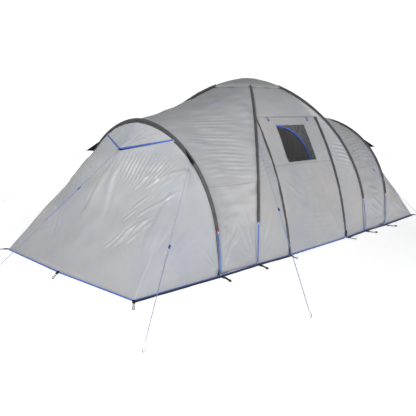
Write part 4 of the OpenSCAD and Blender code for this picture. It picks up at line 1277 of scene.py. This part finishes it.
def make_door():
    grid = wrinkled(door_grid(), DOOR_FOLDS)
    PANELS["door"] = grid
    keep = np.ones((grid.shape[0] - 1, grid.shape[1] - 1), bool)
    keep[slice(*WINDOW_ROWS), slice(*WINDOW_COLS)] = False
    make_cloth("door_fly", FLY, grid, vec(0, -1, 0.3), ("door_panel",), "door", keep)

    low, high = WINDOW_ROWS[0] - 0.3, WINDOW_ROWS[1] + 0.15
    left, right = WINDOW_COLS[0] - 0.3, WINDOW_COLS[1] + 0.3
    binding = Patch()
    for places in (
        [(low, j) for j in np.linspace(left, right, 40)],
        [(high, j) for j in np.linspace(left, right, 40)],
        [(i, left) for i in np.linspace(low, high, 30)],
        [(i, right) for i in np.linspace(low, high, 30)],
    ):
        binding.band(*on_panel(grid, places), 0.014, 0.0012, 0.0013, 0.0006)
    binding.object("window_binding", SEAM, "door")

    def mesh_point(i, j):
        z = mix(WINDOW_LOW - 0.006, WINDOW_HIGH + 0.006, i / 40)
        x = mix(-WINDOW_HALF_W - 0.006, WINDOW_HALF_W + 0.006, j / 56)
        sag = 0.004 * math.sin(math.pi * i / 40) * math.sin(math.pi * j / 56)
        return front_point(x, z) + vec(0, 0.002 + sag, 0)

    mesh = grid_of(range(41), range(57), mesh_point)
    make_cloth("window_net", NET, mesh, vec(0, -1, 0.3), ("door_window",), "door", thick=0.0008)


def off_door(sx, x, z, stand_off):
    """A point of the door's face on side sx, moved straight off its arc."""
    p = front_point(x, z)
    a = math.asin((z - DOOR_ARC_Z) / DOOR_ARC_R)
    return vec(sx * p[0], p[1], p[2]) + vec(0, -stand_off * math.cos(a), stand_off * math.sin(a))


# Across a zip's cover flap: the distance from the zip, and off the door's face
FLAP_SECTION = (
    (-0.026, 0.002), (-0.019, 0.0038), (-0.007, 0.0072), (0.005, 0.0084), (0.014, 0.0078), (0.018, 0.0060),
)


def make_zip_flap(sx, name):
    lines = []
    for k, z in enumerate(steps(0.026, DOOR_TOP - 0.010, 120)):
        wave = 0.0012 * math.sin(k * 0.9) + 0.0010 * math.sin(k * 0.37 + sx)
        lines.append([
            off_door(sx, ZIP_X + q, z, off + wave * (0.5 + 20 * max(0, q)))
            for q, off in FLAP_SECTION
        ])
    flap = Patch()
    flap.add(np.array(lines), 0.0014, vec(0, -1, 0.3))
    flap.object("zip_flap_" + name, FLAP, "door", ("door_flap_" + name,))


def make_zip_tapes(sx, name):
    """A zip's two tapes, one on the tent and one on the door, each with its row of teeth."""
    for body, x0, x1, teeth_x in (
        ("tent", ZIP_X + 0.0005, ZIP_X + 0.016, ZIP_X + 0.0005),
        ("door", ZIP_X - 0.016, ZIP_X - 0.0005, ZIP_X - 0.0005),
    ):
        tape = Patch()
        zs = steps(0.020, DOOR_TOP - 0.004, 96)
        grid = grid_of(zs, steps(x0, x1, 3), lambda z, x: off_door(sx, x, z, -0.0020))
        tape.add(grid, 0.0012, vec(0, -1, 0.3))
        zs = steps(0.022, DOOR_TOP - 0.006, 150)
        teeth = [vec(sx * teeth_x, front_point(ZIP_X, z)[1], z) for z in zs]
        coil = ellipse(0.0016, 0.0020, 6)
        tape.tube(teeth, coil, X_AXIS, shift=lambda run, a, b: 0.0005 * math.sin(run * 2000))
        tape.object("zip_tape_%s_%s" % (name, body), FLAP, body)


def make_zip_slider(sx, name):
    """Body, bridge and hanging pull of a slider, at the bottom of its zip."""
    low = math.asin((0.042 - DOOR_ARC_Z) / DOOR_ARC_R)
    turn = Matrix.Rotation(-low, 4, "X")
    base = Vector((sx * ZIP_X, DOOR_ARC_Y, DOOR_ARC_Z))

    def placed(y, z):
        return np.array(base + turn @ Vector((0, y - DOOR_ARC_R + 0.001, z)))

    slider = Patch()
    shell = [placed(0, z) for z in steps(-0.010, 0.010, 10)]
    rim = rounded_slab(0.008, 0.0045, 0.0018)
    slider.tube(shell, rim, X_AXIS, scale=lambda s: 0.78 + 0.3 * math.sin(math.pi * (0.25 + 0.6 * s)))
    bridge = [placed(y, 0) for y in (0.0, 0.004, 0.0075)]
    slider.tube(bridge, rounded_slab(0.004, 0.010, 0.0015), X_AXIS)
    pull = [placed(0.0085, z) for z in steps(0.004, -0.031, 12)]
    strip = rounded_slab(0.005, 0.002, 0.0009)
    slider.tube(pull, strip, X_AXIS, scale=lambda s: 0.8 + 0.45 * s if s < 0.95 else 1.0)
    slider.object("zip_slider_%s_body" % name, BLACK_PLASTIC, "zip_slider_" + name, ("zip_slider_" + name,))


def make_clip(sx, name):
    """The clip at the foot of a zip: its web, housing and tongue."""
    foot = vec(sx * (ZIP_X + 0.002), front_point(ZIP_X, 0.05)[1], 0)
    web = [foot + vec(0, -0.0115, z) for z in steps(0.004, 0.105, 12)]
    make_tube("clip_web_" + name, WEBBING, web, rounded_slab(0.020, 0.0022, 0.001), X_AXIS, "door")
    housing = [foot + vec(0, -0.0150, z) for z in steps(0.014, 0.058, 14)]
    slab = rounded_slab(0.026, 0.0085, 0.003)
    make_tube("clip_" + name, BLUE_PLASTIC, housing, slab, X_AXIS, "door",
              scale=lambda s: 0.82 + 0.18 * abs(2 * s - 1))
    tongue = [foot + vec(0, -0.0150, z) for z in steps(0.060, 0.084, 8)]
    slab = rounded_slab(0.022, 0.0075, 0.0025)
    make_tube("clip_tongue_" + name, BLACK_PLASTIC, tongue, slab, X_AXIS, "door", scale=lambda s: 1 - 0.2 * s)


TOGGLE_X = 0.401
TOGGLE_Z = 1.500
TOGGLE_LEAN = math.radians(25)


def make_toggle(sx, name):
    """A webbing loop at the door's top, with a bar in its lower end."""
    axis = vec(0, math.sin(TOGGLE_LEAN), math.cos(TOGGLE_LEAN))
    centre = vec(sx * TOGGLE_X, front_point(TOGGLE_X, TOGGLE_Z)[1] - 0.014, TOGGLE_Z)
    body = "toggle_" + name

    def strap_point(x):
        return centre + axis * x - vec(0, 0.004 * math.sin(math.pi * (0.023 - x) / 0.05), 0)

    def bar_width(s):
        return 1.0 - 0.25 * math.sin(math.pi * s) ** 4 if 0.04 < s < 0.96 else 0.75

    strap = [strap_point(x) for x in steps(0.023, -0.018, 14)]
    slab = rounded_slab(0.017, 0.0045, 0.0018)
    make_tube("toggle_%s_loop" % name, BLUE_TAPE, strap, slab, X_AXIS, body, ("door_toggle_" + name,))
    low = centre - axis * 0.019 - vec(0, 0.003, 0)
    bar = [low + vec(x, 0, -0.25 * abs(x)) for x in steps(-0.014, 0.014, 16)]
    rod = ellipse(0.0045, 0.0045, 14)
    make_tube("toggle_%s_bar" % name, BLACK_PLASTIC, bar, rod, UP, body, scale=bar_width)


def make_zips():
    for sx, name in SIDES:
        make_zip_flap(sx, name)
        make_zip_tapes(sx, name)
        make_zip_slider(sx, name)
        make_clip(sx, name)
        make_toggle(sx, name)


def hem_corners():
    """The fly's outline on the ground, from one side of the door round the tent to the other."""
    foot = dome_seam(1, 1, 0)
    arch_foot = arch_point(1, FOOT_ANGLE, SEAM_INSET)
    quarter = [foot[:2], arch_foot[:2], vec(CORNER_X, CORNER_Y), vec(END_MID_X, 0)]
    gate = vec(ZIP_X + 0.016, profile_y(0))
    bay = vec(ZIP_X, profile_y(0))
    corners = [gate * vec(1, -1)] + [p * vec(1, -1) for p in quarter[:3]] + [quarter[3]]
    corners += [quarter[2], quarter[1], quarter[0], bay, bay * vec(-1, 1)]
    corners += [p * vec(-1, 1) for p in quarter[:3]] + [quarter[3] * vec(-1, 1)]
    return corners + [-quarter[2], -quarter[1], -quarter[0], -gate]


def ground_path(points, gap):
    """Points about gap apart along an outline on the ground, each with its direction outwards."""
    path = []
    for a, b in zip(points, points[1:]):
        n = max(2, int(np.linalg.norm(b - a) / gap))
        path += [mix(a, b, k / n) for k in range(n)]
    path.append(points[-1])
    turns = [unit(path[min(k + 1, len(path) - 1)] - path[max(k - 1, 0)]) for k in range(len(path))]
    return [(p, vec(t[1], -t[0])) for p, t in zip(path, turns)]


def make_hem_tape(name, points, body, replaces):
    """Blue tape that stands along the foot of the cloth, a little wavy at its lower edge."""
    lines = []
    for k, (p, n) in enumerate(ground_path(points, 0.05)):
        sway = 0.0004 * (math.sin(k * 1.9) + math.sin(k * 0.71)) * 0.5
        line = []
        for s in steps(0, 1, 5):
            out = 0.0034 + sway * (1 - s) + 0.0010 * math.sin(math.pi * s)
            line.append(vec(*(p + n * out), mix(0.002, 0.017, s)))
        lines.append(line)
    patch = Patch()
    patch.add(np.array(lines), 0.0014, vec(0, 1, 0))
    patch.object(name, BLUE_TAPE, body, replaces)


def make_hem():
    """Blue tape round the foot of the fly, with a black mud strip below it along the sides."""
    corners = hem_corners()
    make_hem_tape("hem_tape", corners, "tent", ("hem_binding",))
    strip = Patch()
    for part in (corners[:4], corners[5:12], corners[14:]):
        lines = []
        for k, (p, n) in enumerate(ground_path(part, 0.04)):
            flare = 0.5 + 0.5 * math.sin(k * 0.83) * math.sin(k * 0.31)
            section = [(0.0045, 0.0085), (0.0080, 0.0070)]
            section += [(0.0150 + 0.003 * flare, 0.0060), (0.0240 + 0.006 * flare, 0.0022)]
            lines.append([vec(*(p + n * out), z) for out, z in section])
        strip.add(np.array(lines), 0.0016, UP)
    strip.object("mud_strip", GROUND)
    half, y = ZIP_X - 0.030, -profile_y(0) - 0.001
    make_hem_tape("door_hem_tape", [vec(-half, y), vec(half, y)], "door", ("door_hem_binding",))


def make_groundsheet():
    """A tray with a low rim all round, inside the hem."""
    side, end, rim = 0.024, 0.050, 0.044
    foot, arch_foot = dome_seam(1, 1, 0), arch_point(1, FOOT_ANGLE, SEAM_INSET)
    outer = [(arch_foot[0], arch_foot[1] - side), (CORNER_X - end, CORNER_Y - side)]
    back_y = [(0, foot[1] - side), (ZIP_X, foot[1] - side), (foot[0] - side, foot[1] - side)] + outer
    front_y = [(0, 1.080), (ZIP_X + 0.050, 1.080)] + outer
    lines = []
    for x in np.linspace(-(CORNER_X - end), CORNER_X - end, 160):
        low = -float(np.interp(abs(x), *zip(*front_y)))
        high = float(np.interp(abs(x), *zip(*back_y)))
        line = [vec(x, low, rim), vec(x, low + 0.001, rim / 2), vec(x, low + 0.004, 0.003)]
        line += [vec(x, y, 0.0012) for y in np.linspace(low + 0.012, high - 0.012, 60)]
        line += [vec(x, high - 0.004, 0.003), vec(x, high - 0.001, rim / 2), vec(x, high, rim)]
        lines.append(line)
    grid = np.array(lines)
    bumps = np.abs(crumple(0.0016, 0.28, 81)(grid, None))
    grid[:, 4:-4, 2] += bumps[:, 4:-4]
    patch = Patch()
    patch.add(grid, 0.0012, UP)
    for sx in (-1, 1):
        rows = []
        for y in np.linspace(-(CORNER_Y - side), CORNER_Y - side, 60):
            x = CORNER_X - end + (END_MID_X - CORNER_X) * (1 - abs(y) / CORNER_Y)
            section = ((CORNER_X - end, 0.0014), (x - 0.006, 0.0022), (x, 0.006), (x, rim / 2), (x, rim))
            rows.append([vec(sx * out, y, z) for out, z in section])
        patch.add(np.array(rows), 0.0012, vec(-sx, 0, 0.2))
    patch.cloth("groundsheet_tray", GROUND, replaces=("groundsheet",))


# ---------------------------------------------------------------------------------------------
# Poles, sleeves and feet
# ---------------------------------------------------------------------------------------------
# The dome's poles: the side its left foot stands on, its name, and its lift at the crown
DOME_POLES = ((-1, "a", 0.0), (1, "b", POLE_B_LIFT))
# Heights of the ferrules' lower and upper ends
FERRULES = ((0.014, 0.034), (0.430, 0.452))


def sleeve_profile():
    """A flat tube of cloth over the pole, its two edges sewn down on the seam."""
    xs = [-1, -0.8, -0.6, -0.45, -0.3, -0.15, 0, 0.15, 0.3, 0.45, 0.6, 0.8, 1]
    half = SLEEVE_W / 2 - 0.0015
    top = [(half * x, -0.0085 + 0.0235 * math.exp(-((x / 0.66) ** 2))) for x in xs]
    low = [(half * x, -0.0105 + 0.0015 * abs(x)) for x in reversed(xs)]
    return top + low


def dome_line(sx, sy, t0, t1, n, lift=0.0):
    return [dome_point(sx, sy, t) + vec(0, 0, lift * math.sin(t) ** 8) for t in steps(t0, t1, n)]


def dome_normal(sx, sy):
    return vec(math.sin(DOME_ANGLE), -sx * sy * math.cos(DOME_ANGLE), 0)


def arch_normal(sx):
    return unit(vec(ARCH_RISE, 0, -sx * ARCH_LEAN))


def outward(path, normal, profile):
    """The profile, turned over where the sweep would point its crown inwards."""
    k = len(path) // 2
    t = unit(path[k + 1] - path[k - 1])
    e = unit(np.cross(t, normal))
    return profile if np.dot(e, path[k] - vec(0, 0, 0.2)) > 0 else [(a, -b) for a, b in reversed(profile)]


def pucker(run, a, b):
    if b < -0.007:
        return 0.0
    return 0.0007 * math.sin(run * 75 + a * 120) + 0.0006 * math.sin(run * 31)


def sleeve_web(patch, path, seam, outward_is):
    """The strip of a sleeve that joins its tube to the seam of the fly below it."""
    lines = [
        [p + (q - p) * 0.45, (p + q) / 2 + (q - p) * 0.25, q + (q - p) * 0.12]
        for p, q in zip(path, seam)
    ]
    patch.add(np.array(lines), 0.0030, outward_is)


def make_sleeves():
    profile = sleeve_profile()
    for sx, name in SIDES:
        path = [arch_point(sx, t) for t in steps(-ARCH_SLEEVE_T, ARCH_SLEEVE_T, 150)]
        patch = Patch()
        patch.tube(path, outward(path, arch_normal(sx), profile), arch_normal(sx), shift=pucker)
        seam = [arch_seam(sx, t) for t in steps(-ARCH_SLEEVE_T, ARCH_SLEEVE_T, 150)]
        sleeve_web(patch, path, seam, vec(sx, 0, 0))
        patch.object("arch_sleeve_%s_cloth" % name, SLEEVE, replaces=("arch_sleeve_" + name,))
    for sy, name, lift in DOME_POLES:
        patch = Patch()
        for sx in (-1, 1):
            path = dome_line(sx, -sx * sy, SLEEVE_T, CAP_T + 0.002, 110, lift)
            normal = dome_normal(sx, -sx * sy)
            patch.tube(path, outward(path, normal, profile), normal, shift=pucker)
            seam = [dome_seam(sx, -sx * sy, t) for t in steps(SLEEVE_T, CAP_T + 0.012, 110)]
            sleeve_web(patch, path, seam, normal)
        patch.object("dome_sleeve_%s_cloth" % name, SLEEVE, replaces=("dome_sleeve_" + name,))


def make_poles():
    """The poles with their steel ferrules."""
    round_rod = ellipse(POLE_D / 2, POLE_D / 2, 14)
    ferrule = ellipse(0.0064, 0.0064, 14)
    steel = Patch()
    for sx, name in SIDES:
        t1 = arch_angle(0.013)
        path = [arch_point(sx, t) for t in steps(-t1, t1, 160)]
        make_tube("arch_rod_" + name, POLE, path, round_rod, arch_normal(sx), replaces=("arch_pole_" + name,))
        for side in (-1, 1):
            for z0, z1 in FERRULES:
                ring = [arch_point(sx, side * arch_angle(z)) for z in steps(z0, z1, 8)]
                steel.tube(ring, ferrule, arch_normal(sx))
    for sy, name, lift in DOME_POLES:
        up = dome_line(-1, sy, dome_t(0.013), math.pi / 2, 100, lift)
        path = up + [p * vec(-1, -1, 1) for p in reversed(up[:-1])]
        normal = dome_normal(-1, sy)
        make_tube("dome_rod_" + name, POLE, path, round_rod, normal, replaces=("dome_pole_" + name,))
        for sx in (-1, 1):
            side = sy if sx < 0 else -sy
            for z0, z1 in FERRULES:
                ring = [dome_point(sx, side, dome_t(z)) for z in steps(z0, z1, 8)]
                steel.tube(ring, ferrule, dome_normal(sx, side))
    steel.object("pole_ferrules", STEEL)


def make_sleeve_mouths():
    """Bands round the lower ends of the sleeves, blue on the dome and red on the arches."""
    blue, red = Patch(), Patch()
    mouth = rounded_slab(0.028, 0.0165, 0.0075)
    heights = steps(SLEEVE_END_Z - 0.022, SLEEVE_END_Z + 0.002, 6)
    for sx, sy in CORNERS:
        blue.tube([dome_point(sx, sy, dome_t(z)) for z in heights], mouth, dome_normal(sx, sy))
        red.tube([arch_point(sx, sy * arch_angle(z)) for z in heights], mouth, arch_normal(sx))
    blue.object("sleeve_mouths_blue", BAND_BLUE, replaces=("sleeve_end_bands",))
    red.object("sleeve_mouths_red", BAND_RED)


# Middle line of a foot strap: along the tent, out from it, and up
STRAP_LINE = (
    (-0.030, -0.010, 0.0020), (-0.016, -0.004, 0.0028), (0.0, 0.004, 0.0030), (0.0, 0.020, 0.0026),
    (0.0, 0.036, 0.0040), (0.0, 0.052, 0.0100), (0.002, 0.066, 0.0090), (0.008, 0.090, 0.0050),
    (0.018, 0.118, 0.0060), (0.030, 0.142, 0.0080), (0.042, 0.160, 0.0085),
)


def add_pin(pins, at):
    """A foot pin, with a ring round its lower end."""
    pins.tube([at + vec(0, 0, z) for z in steps(0.0035, 0.030, 10)], ellipse(0.0026, 0.0026, 12), X_AXIS)
    turns = steps(0, 2 * math.pi, 28)[:-1]
    ring = [at + vec(0.009 * math.cos(a), 0.009 * math.sin(a), 0.0055) for a in turns]
    pins.tube(ring, ellipse(0.0019, 0.0019, 8), UP, closed=True)


def add_strap(straps, at, sx, sy):
    """A foot strap, with a thicker folded end."""
    path = [at + vec(sx * x, sy * y, z + 0.0022) for x, y, z in STRAP_LINE]
    across = [X_AXIS] * 7 + [unit(vec(1, -0.3 * sx * sy, 0))] * 4
    straps.tube(path, rounded_slab(0.025, 0.0062, 0.0024), across)
    end = [mix(path[-2], path[-1], f) for f in steps(-0.1, 1.15, 4)]
    straps.tube(end, rounded_slab(0.026, 0.0160, 0.0060), unit(vec(1, -0.6 * sx * sy, 0)))


def add_buckle(buckles, at, sy):
    """A ladder buckle: two rails and three bars."""
    y0 = 0.038

    def place(x, y):
        return at + vec(0, sy, 0) * y + vec(x, 0, 0.0045)

    for x in (-0.013, 0.013):
        rail = [place(x, y) for y in steps(y0, y0 + 0.026, 6)]
        buckles.tube(rail, rounded_slab(0.004, 0.005, 0.0016), X_AXIS)
    for y in (y0 + 0.0015, y0 + 0.013, y0 + 0.0245):
        bar = [place(x, y) for x in steps(-0.0135, 0.0135, 6)]
        buckles.tube(bar, rounded_slab(0.0032, 0.0042, 0.0014), vec(0, 1, 0))


def make_feet():
    pins, straps, buckles = Patch(), Patch(), Patch()
    for foot in (dome_point(1, 1, 0), arch_point(1, FOOT_ANGLE)):
        for sx, sy in CORNERS:
            at = vec(sx * foot[0], sy * foot[1], 0)
            add_pin(pins, at)
            add_strap(straps, at, sx, sy)
            add_buckle(buckles, at, sy)
    pins.object("foot_pins_wire", STEEL, replaces=("foot_pins",))
    straps.object("foot_straps_web", WEBBING, replaces=("foot_straps",))
    buckles.object("strap_buckles_moulded", BLACK_PLASTIC, replaces=("strap_buckles",))


# ---------------------------------------------------------------------------------------------
# Pegs, loops and tabs
# ---------------------------------------------------------------------------------------------
PEG_OFFSET = 0.0022


def peg_wire(patch, at, start):
    """A peg's wire above the ground, with its hook turned away from start."""
    out = unit(vec(at[0] - start[0], at[1] - start[1], 0))
    base = vec(at[0], at[1], 0) + out * PEG_OFFSET
    path = [base + vec(0, 0, z) for z in steps(0.0005, 0.030, 8)]
    for a in steps(0, math.pi, 14)[1:]:
        path.append(base + out * (0.009 - 0.009 * math.cos(a)) + vec(0, 0, 0.030 + 0.009 * math.sin(a)))
    path += [base + out * 0.018 + vec(0, 0, z) for z in (0.027, 0.022)]
    patch.tube(path, ellipse(0.0024, 0.0024, 12), np.cross(out, UP))


def make_pegs():
    guy, hem, loops = Patch(), Patch(), Patch()
    for _, start, peg, _ in GUYS:
        peg_wire(guy, peg, start)
    places = []
    for (x, y), (px, py) in (((2.774, 1.143), (2.880, 1.275)), ((0.624, 1.212), (0.650, 1.325))):
        for sx, sy in CORNERS:
            places.append((vec(sx * x, sy * y, 0.012), vec(sx * px, sy * py, 0.006)))
    for sx in (-1, 1):
        places.append((vec(sx * (END_MID_X + 0.006), 0, 0.012), vec(sx * (END_MID_X + 0.136), -0.125, 0.006)))
    for start, peg in places:
        peg_wire(hem, peg, start)
        d = unit(vec(peg[0] - start[0], peg[1] - start[1], 0))
        side = np.cross(d, UP)
        path = [mix(start, peg, f) + side * LOOP_R * mix(0.45, 1, f) for f in (0, 0.25, 0.5, 0.8)]
        path += [peg + LOOP_R * (side * math.cos(a) + d * math.sin(a)) for a in steps(0, math.pi, 12)]
        path += [mix(start, peg, f) - side * LOOP_R * mix(0.45, 1, f) for f in (0.8, 0.5, 0.25, 0)]
        loops.tube(path, ellipse(0.0026, 0.0026, 10), UP)
        tab = [start + d * y + vec(0, 0, 0.004 - 0.06 * max(0, y)) for y in steps(-0.008, 0.050, 8)]
        loops.tube(tab, rounded_slab(0.026, 0.0080, 0.0030), side)
    guy.object("guy_peg_wires", STEEL, replaces=("guy_pegs",))
    hem.object("hem_peg_wires", STEEL, replaces=("hem_pegs",))
    loops.object("hem_elastics", WEBBING, replaces=("hem_loops",))


def web_triangle(patch, a, b, tip):
    """A flat triangle of webbing from a and b to its tip."""
    lines = []
    for s in steps(0, 1, 12):
        p, q = mix(a, tip, s), mix(b, tip, s)
        half = unit(b - a) * max(np.linalg.norm((q - p) / 2), 0.004)
        lines.append([(p + q) / 2 + half * k for k in (-1, -0.5, 0, 0.5, 1)])
    patch.add(np.array(lines), 0.0030, unit(np.cross(b - a, tip - a)))


def make_tabs():
    patch = Patch()
    spread = math.radians(2.5) * 1.5
    for sx in (-1, 1):
        for sy in (-1, 1):
            a = arch_point(sx, sy * (TAB_T - spread), -0.006) + vec(sx * 0.012, 0, 0)
            b = arch_point(sx, sy * (TAB_T + spread), -0.006) + vec(sx * 0.012, 0, 0)
            web_triangle(patch, a, b, vec(sx * 1.870, sy * 0.879, 1.101))
            a = dome_point(sx, sy, dome_t(1.296), -0.008)
            b = dome_point(sx, sy, dome_t(1.262), -0.008)
            web_triangle(patch, a, b, vec(sx * 0.868, sy * 0.897, 1.271))
        x, z = sx * (HOOD_X - 0.004), HOOD_Z + 0.004
        web_triangle(patch, vec(x, -0.014, z), vec(x, 0.014, z), vec(sx * 2.066, 0, 1.171))
    patch.object("guy_tabs_web", WEBBING, replaces=("guy_tabs",))


# ---------------------------------------------------------------------------------------------
# Sleeping cabins
# ---------------------------------------------------------------------------------------------
CABIN_FRAMES = [(1.153, 1.060, 1.560), (1.750, 1.090, 1.180), (2.060, 0.960, 0.940), (2.640, 0.960, 0.120)]
CABIN_FRONT_X = 1.154
CABIN_BACK_X = 2.640
CABIN_EDGE_T = math.radians(89.5)
CABIN_DOOR_X = 1.1515
DOOR_MEET_Y = 0.450
DOOR_SILL = 0.150
DOOR_HINGE_Y = 0.705


def cabin_roof(sx, x, t, inset=0.0):
    xs, widths, heights = zip(*CABIN_FRAMES)
    half, rise = float(np.interp(x, xs, widths)) - inset, float(np.interp(x, xs, heights)) - inset
    y = half * math.copysign(abs(math.sin(t)) ** 1.1, t)
    return vec(sx * x, y, 0.012 + rise * max(math.cos(t), 0) ** 0.8)


def cabin_door_edge(grow, n):
    """Outline of the D-shaped door as (y, z), larger all round by grow, from its hinge side."""
    sill, corner_w, corner_h = DOOR_SILL - grow, 0.250 + grow, 0.420 + grow
    reach, rise = 0.830 + grow, 1.200 + 2 * grow
    points = [vec(DOOR_HINGE_Y - 0.005 + grow, z) for z in steps(sill, 0.930, n)]
    for a in steps(0.05, math.pi / 2, n):
        across, up = max(math.cos(a), 0) ** 0.8, math.sin(a) ** 0.8
        points.append(vec(DOOR_MEET_Y + corner_w * across, 0.930 + corner_h * up))
    for a in steps(math.radians(93), math.pi, 3 * n):
        across, up = reach * abs(math.cos(a)) ** 0.8, rise * abs(math.sin(a)) ** 0.8
        points.append(vec(DOOR_MEET_Y - across, sill + up))
    y0 = DOOR_MEET_Y - reach
    points += [vec(mix(y0, DOOR_HINGE_Y, s), sill) for s in steps(0, 1, n)[1:-1]]
    return points


def ray_outline(points, centre, angles):
    """Distance from the centre to a closed outline at each angle."""
    turned = [(math.atan2(*(p - centre)[::-1]), np.linalg.norm(p - centre)) for p in points]
    turned.sort()
    a, r = zip(*turned)
    return np.interp(angles, a, r, period=2 * math.pi)


def make_cabin_tent(sx, name):
    """A cabin's hanging roof and sides, and its floor."""

    def roof_point(x, k):
        t = CABIN_EDGE_T * k / 60
        along = (x - CABIN_FRONT_X) / (CABIN_BACK_X - CABIN_FRONT_X)
        hang = 0.016 * abs(math.sin(7.5 * math.pi * along)) * math.cos(t) ** 2
        pleat = 0.006 * math.sin(34 * t) * (1 - math.cos(t) ** 4)
        return cabin_roof(sx, x, t, hang + 0.008 + pleat)

    roof = grid_of(np.linspace(CABIN_FRONT_X, CABIN_BACK_X, 60), range(-60, 61), roof_point)
    make_cloth("cabin_roof_" + name, CABIN, roof, UP, ("cabin_" + name,), thick=0.0012)

    xs, widths, _ = zip(*CABIN_FRAMES)
    lines = []
    for x in np.linspace(CABIN_FRONT_X, CABIN_BACK_X, 40):
        half = float(np.interp(x, xs, widths)) - 0.012
        lines.append([vec(sx * x, y, 0.0055) for y in np.linspace(-half, half, 40)])
    grid = np.array(lines)
    grid[:, :, 2] += np.abs(crumple(0.0016, 0.2, 91)(grid, None))
    make_cloth("cabin_floor_" + name, GROUND, grid, UP, thick=0.0012)


def make_cabin_door(sx, name):
    """A cabin's pleated front wall and its D-shaped leaf, both drawn in rays from one centre."""
    centre = vec(0.15, 0.70)
    angles = np.linspace(-math.pi, math.pi, 721)
    wall = [cabin_roof(1, CABIN_FRAMES[0][0], CABIN_EDGE_T * k / 40, 0.008)[1:] for k in range(-40, 41)]
    wall += [vec(y, 0.014) for y in np.linspace(-1.04, 1.04, 40)]
    inner = ray_outline(cabin_door_edge(0.004, 14), centre, angles)
    outer = ray_outline(wall, centre, angles)
    leaf = ray_outline(cabin_door_edge(0.0, 14), centre, angles)

    def wall_point(k, s):
        r = mix(inner[k], outer[k], s)
        y, z = centre[0] + r * math.cos(angles[k]), centre[1] + r * math.sin(angles[k])
        turn = math.atan2(z - 0.55, y - 0.10)
        pleat = -0.014 * (1 - abs(math.sin(turn * 42))) ** 2 * math.sin(math.pi * s)
        return vec(sx * (CABIN_DOOR_X + pleat), y, z)

    def leaf_point(k, s):
        y = centre[0] + s * leaf[k] * math.cos(angles[k])
        z = centre[1] + s * leaf[k] * math.sin(angles[k])
        pleat = 0.010 * math.sin(y * 62 + 0.8 * math.sin(z * 4)) * (1 - s**4)
        return vec(sx * (CABIN_DOOR_X + pleat), y, z)

    rays, inwards = range(len(angles)), vec(-sx, 0, 0)
    grid = grid_of(rays, steps(0, 1, 12), wall_point)
    make_cloth("cabin_front_" + name, CABIN, grid, inwards, ("cabin_wall_" + name,), thick=0.0012)
    grid = grid_of(rays, steps(0.002, 1, 24), leaf_point)
    body = "cabin_door_" + name
    make_cloth("cabin_leaf_" + name, CABIN_LIGHT, grid, inwards, (body,), body, thick=0.0012)


def make_cabin(sx, name):
    make_cabin_tent(sx, name)
    make_cabin_door(sx, name)
    path = [vec(sx * 1.1465, p[0], p[1]) for p in cabin_door_edge(0.016, 30) if p[0] < DOOR_HINGE_Y - 0.004]
    cord = ellipse(0.0045, 0.0110, 12)
    make_tube("cabin_piping_%s_cord" % name, PIPING, path, cord, X_AXIS, replaces=("cabin_piping_" + name,))


make_front()
make_cap()
make_door()
for side, label in SIDES:
    make_tunnel(side, label)
    make_end(side, label)
    make_hood(side, label)
    make_cabin(side, label)
make_fly_seams()
make_flanges()
make_seam_shadow_bands()
make_door_seam()
make_zips()
make_hem()
make_groundsheet()
make_sleeves()
make_poles()
make_sleeve_mouths()
make_feet()
make_pegs()
make_tabs()
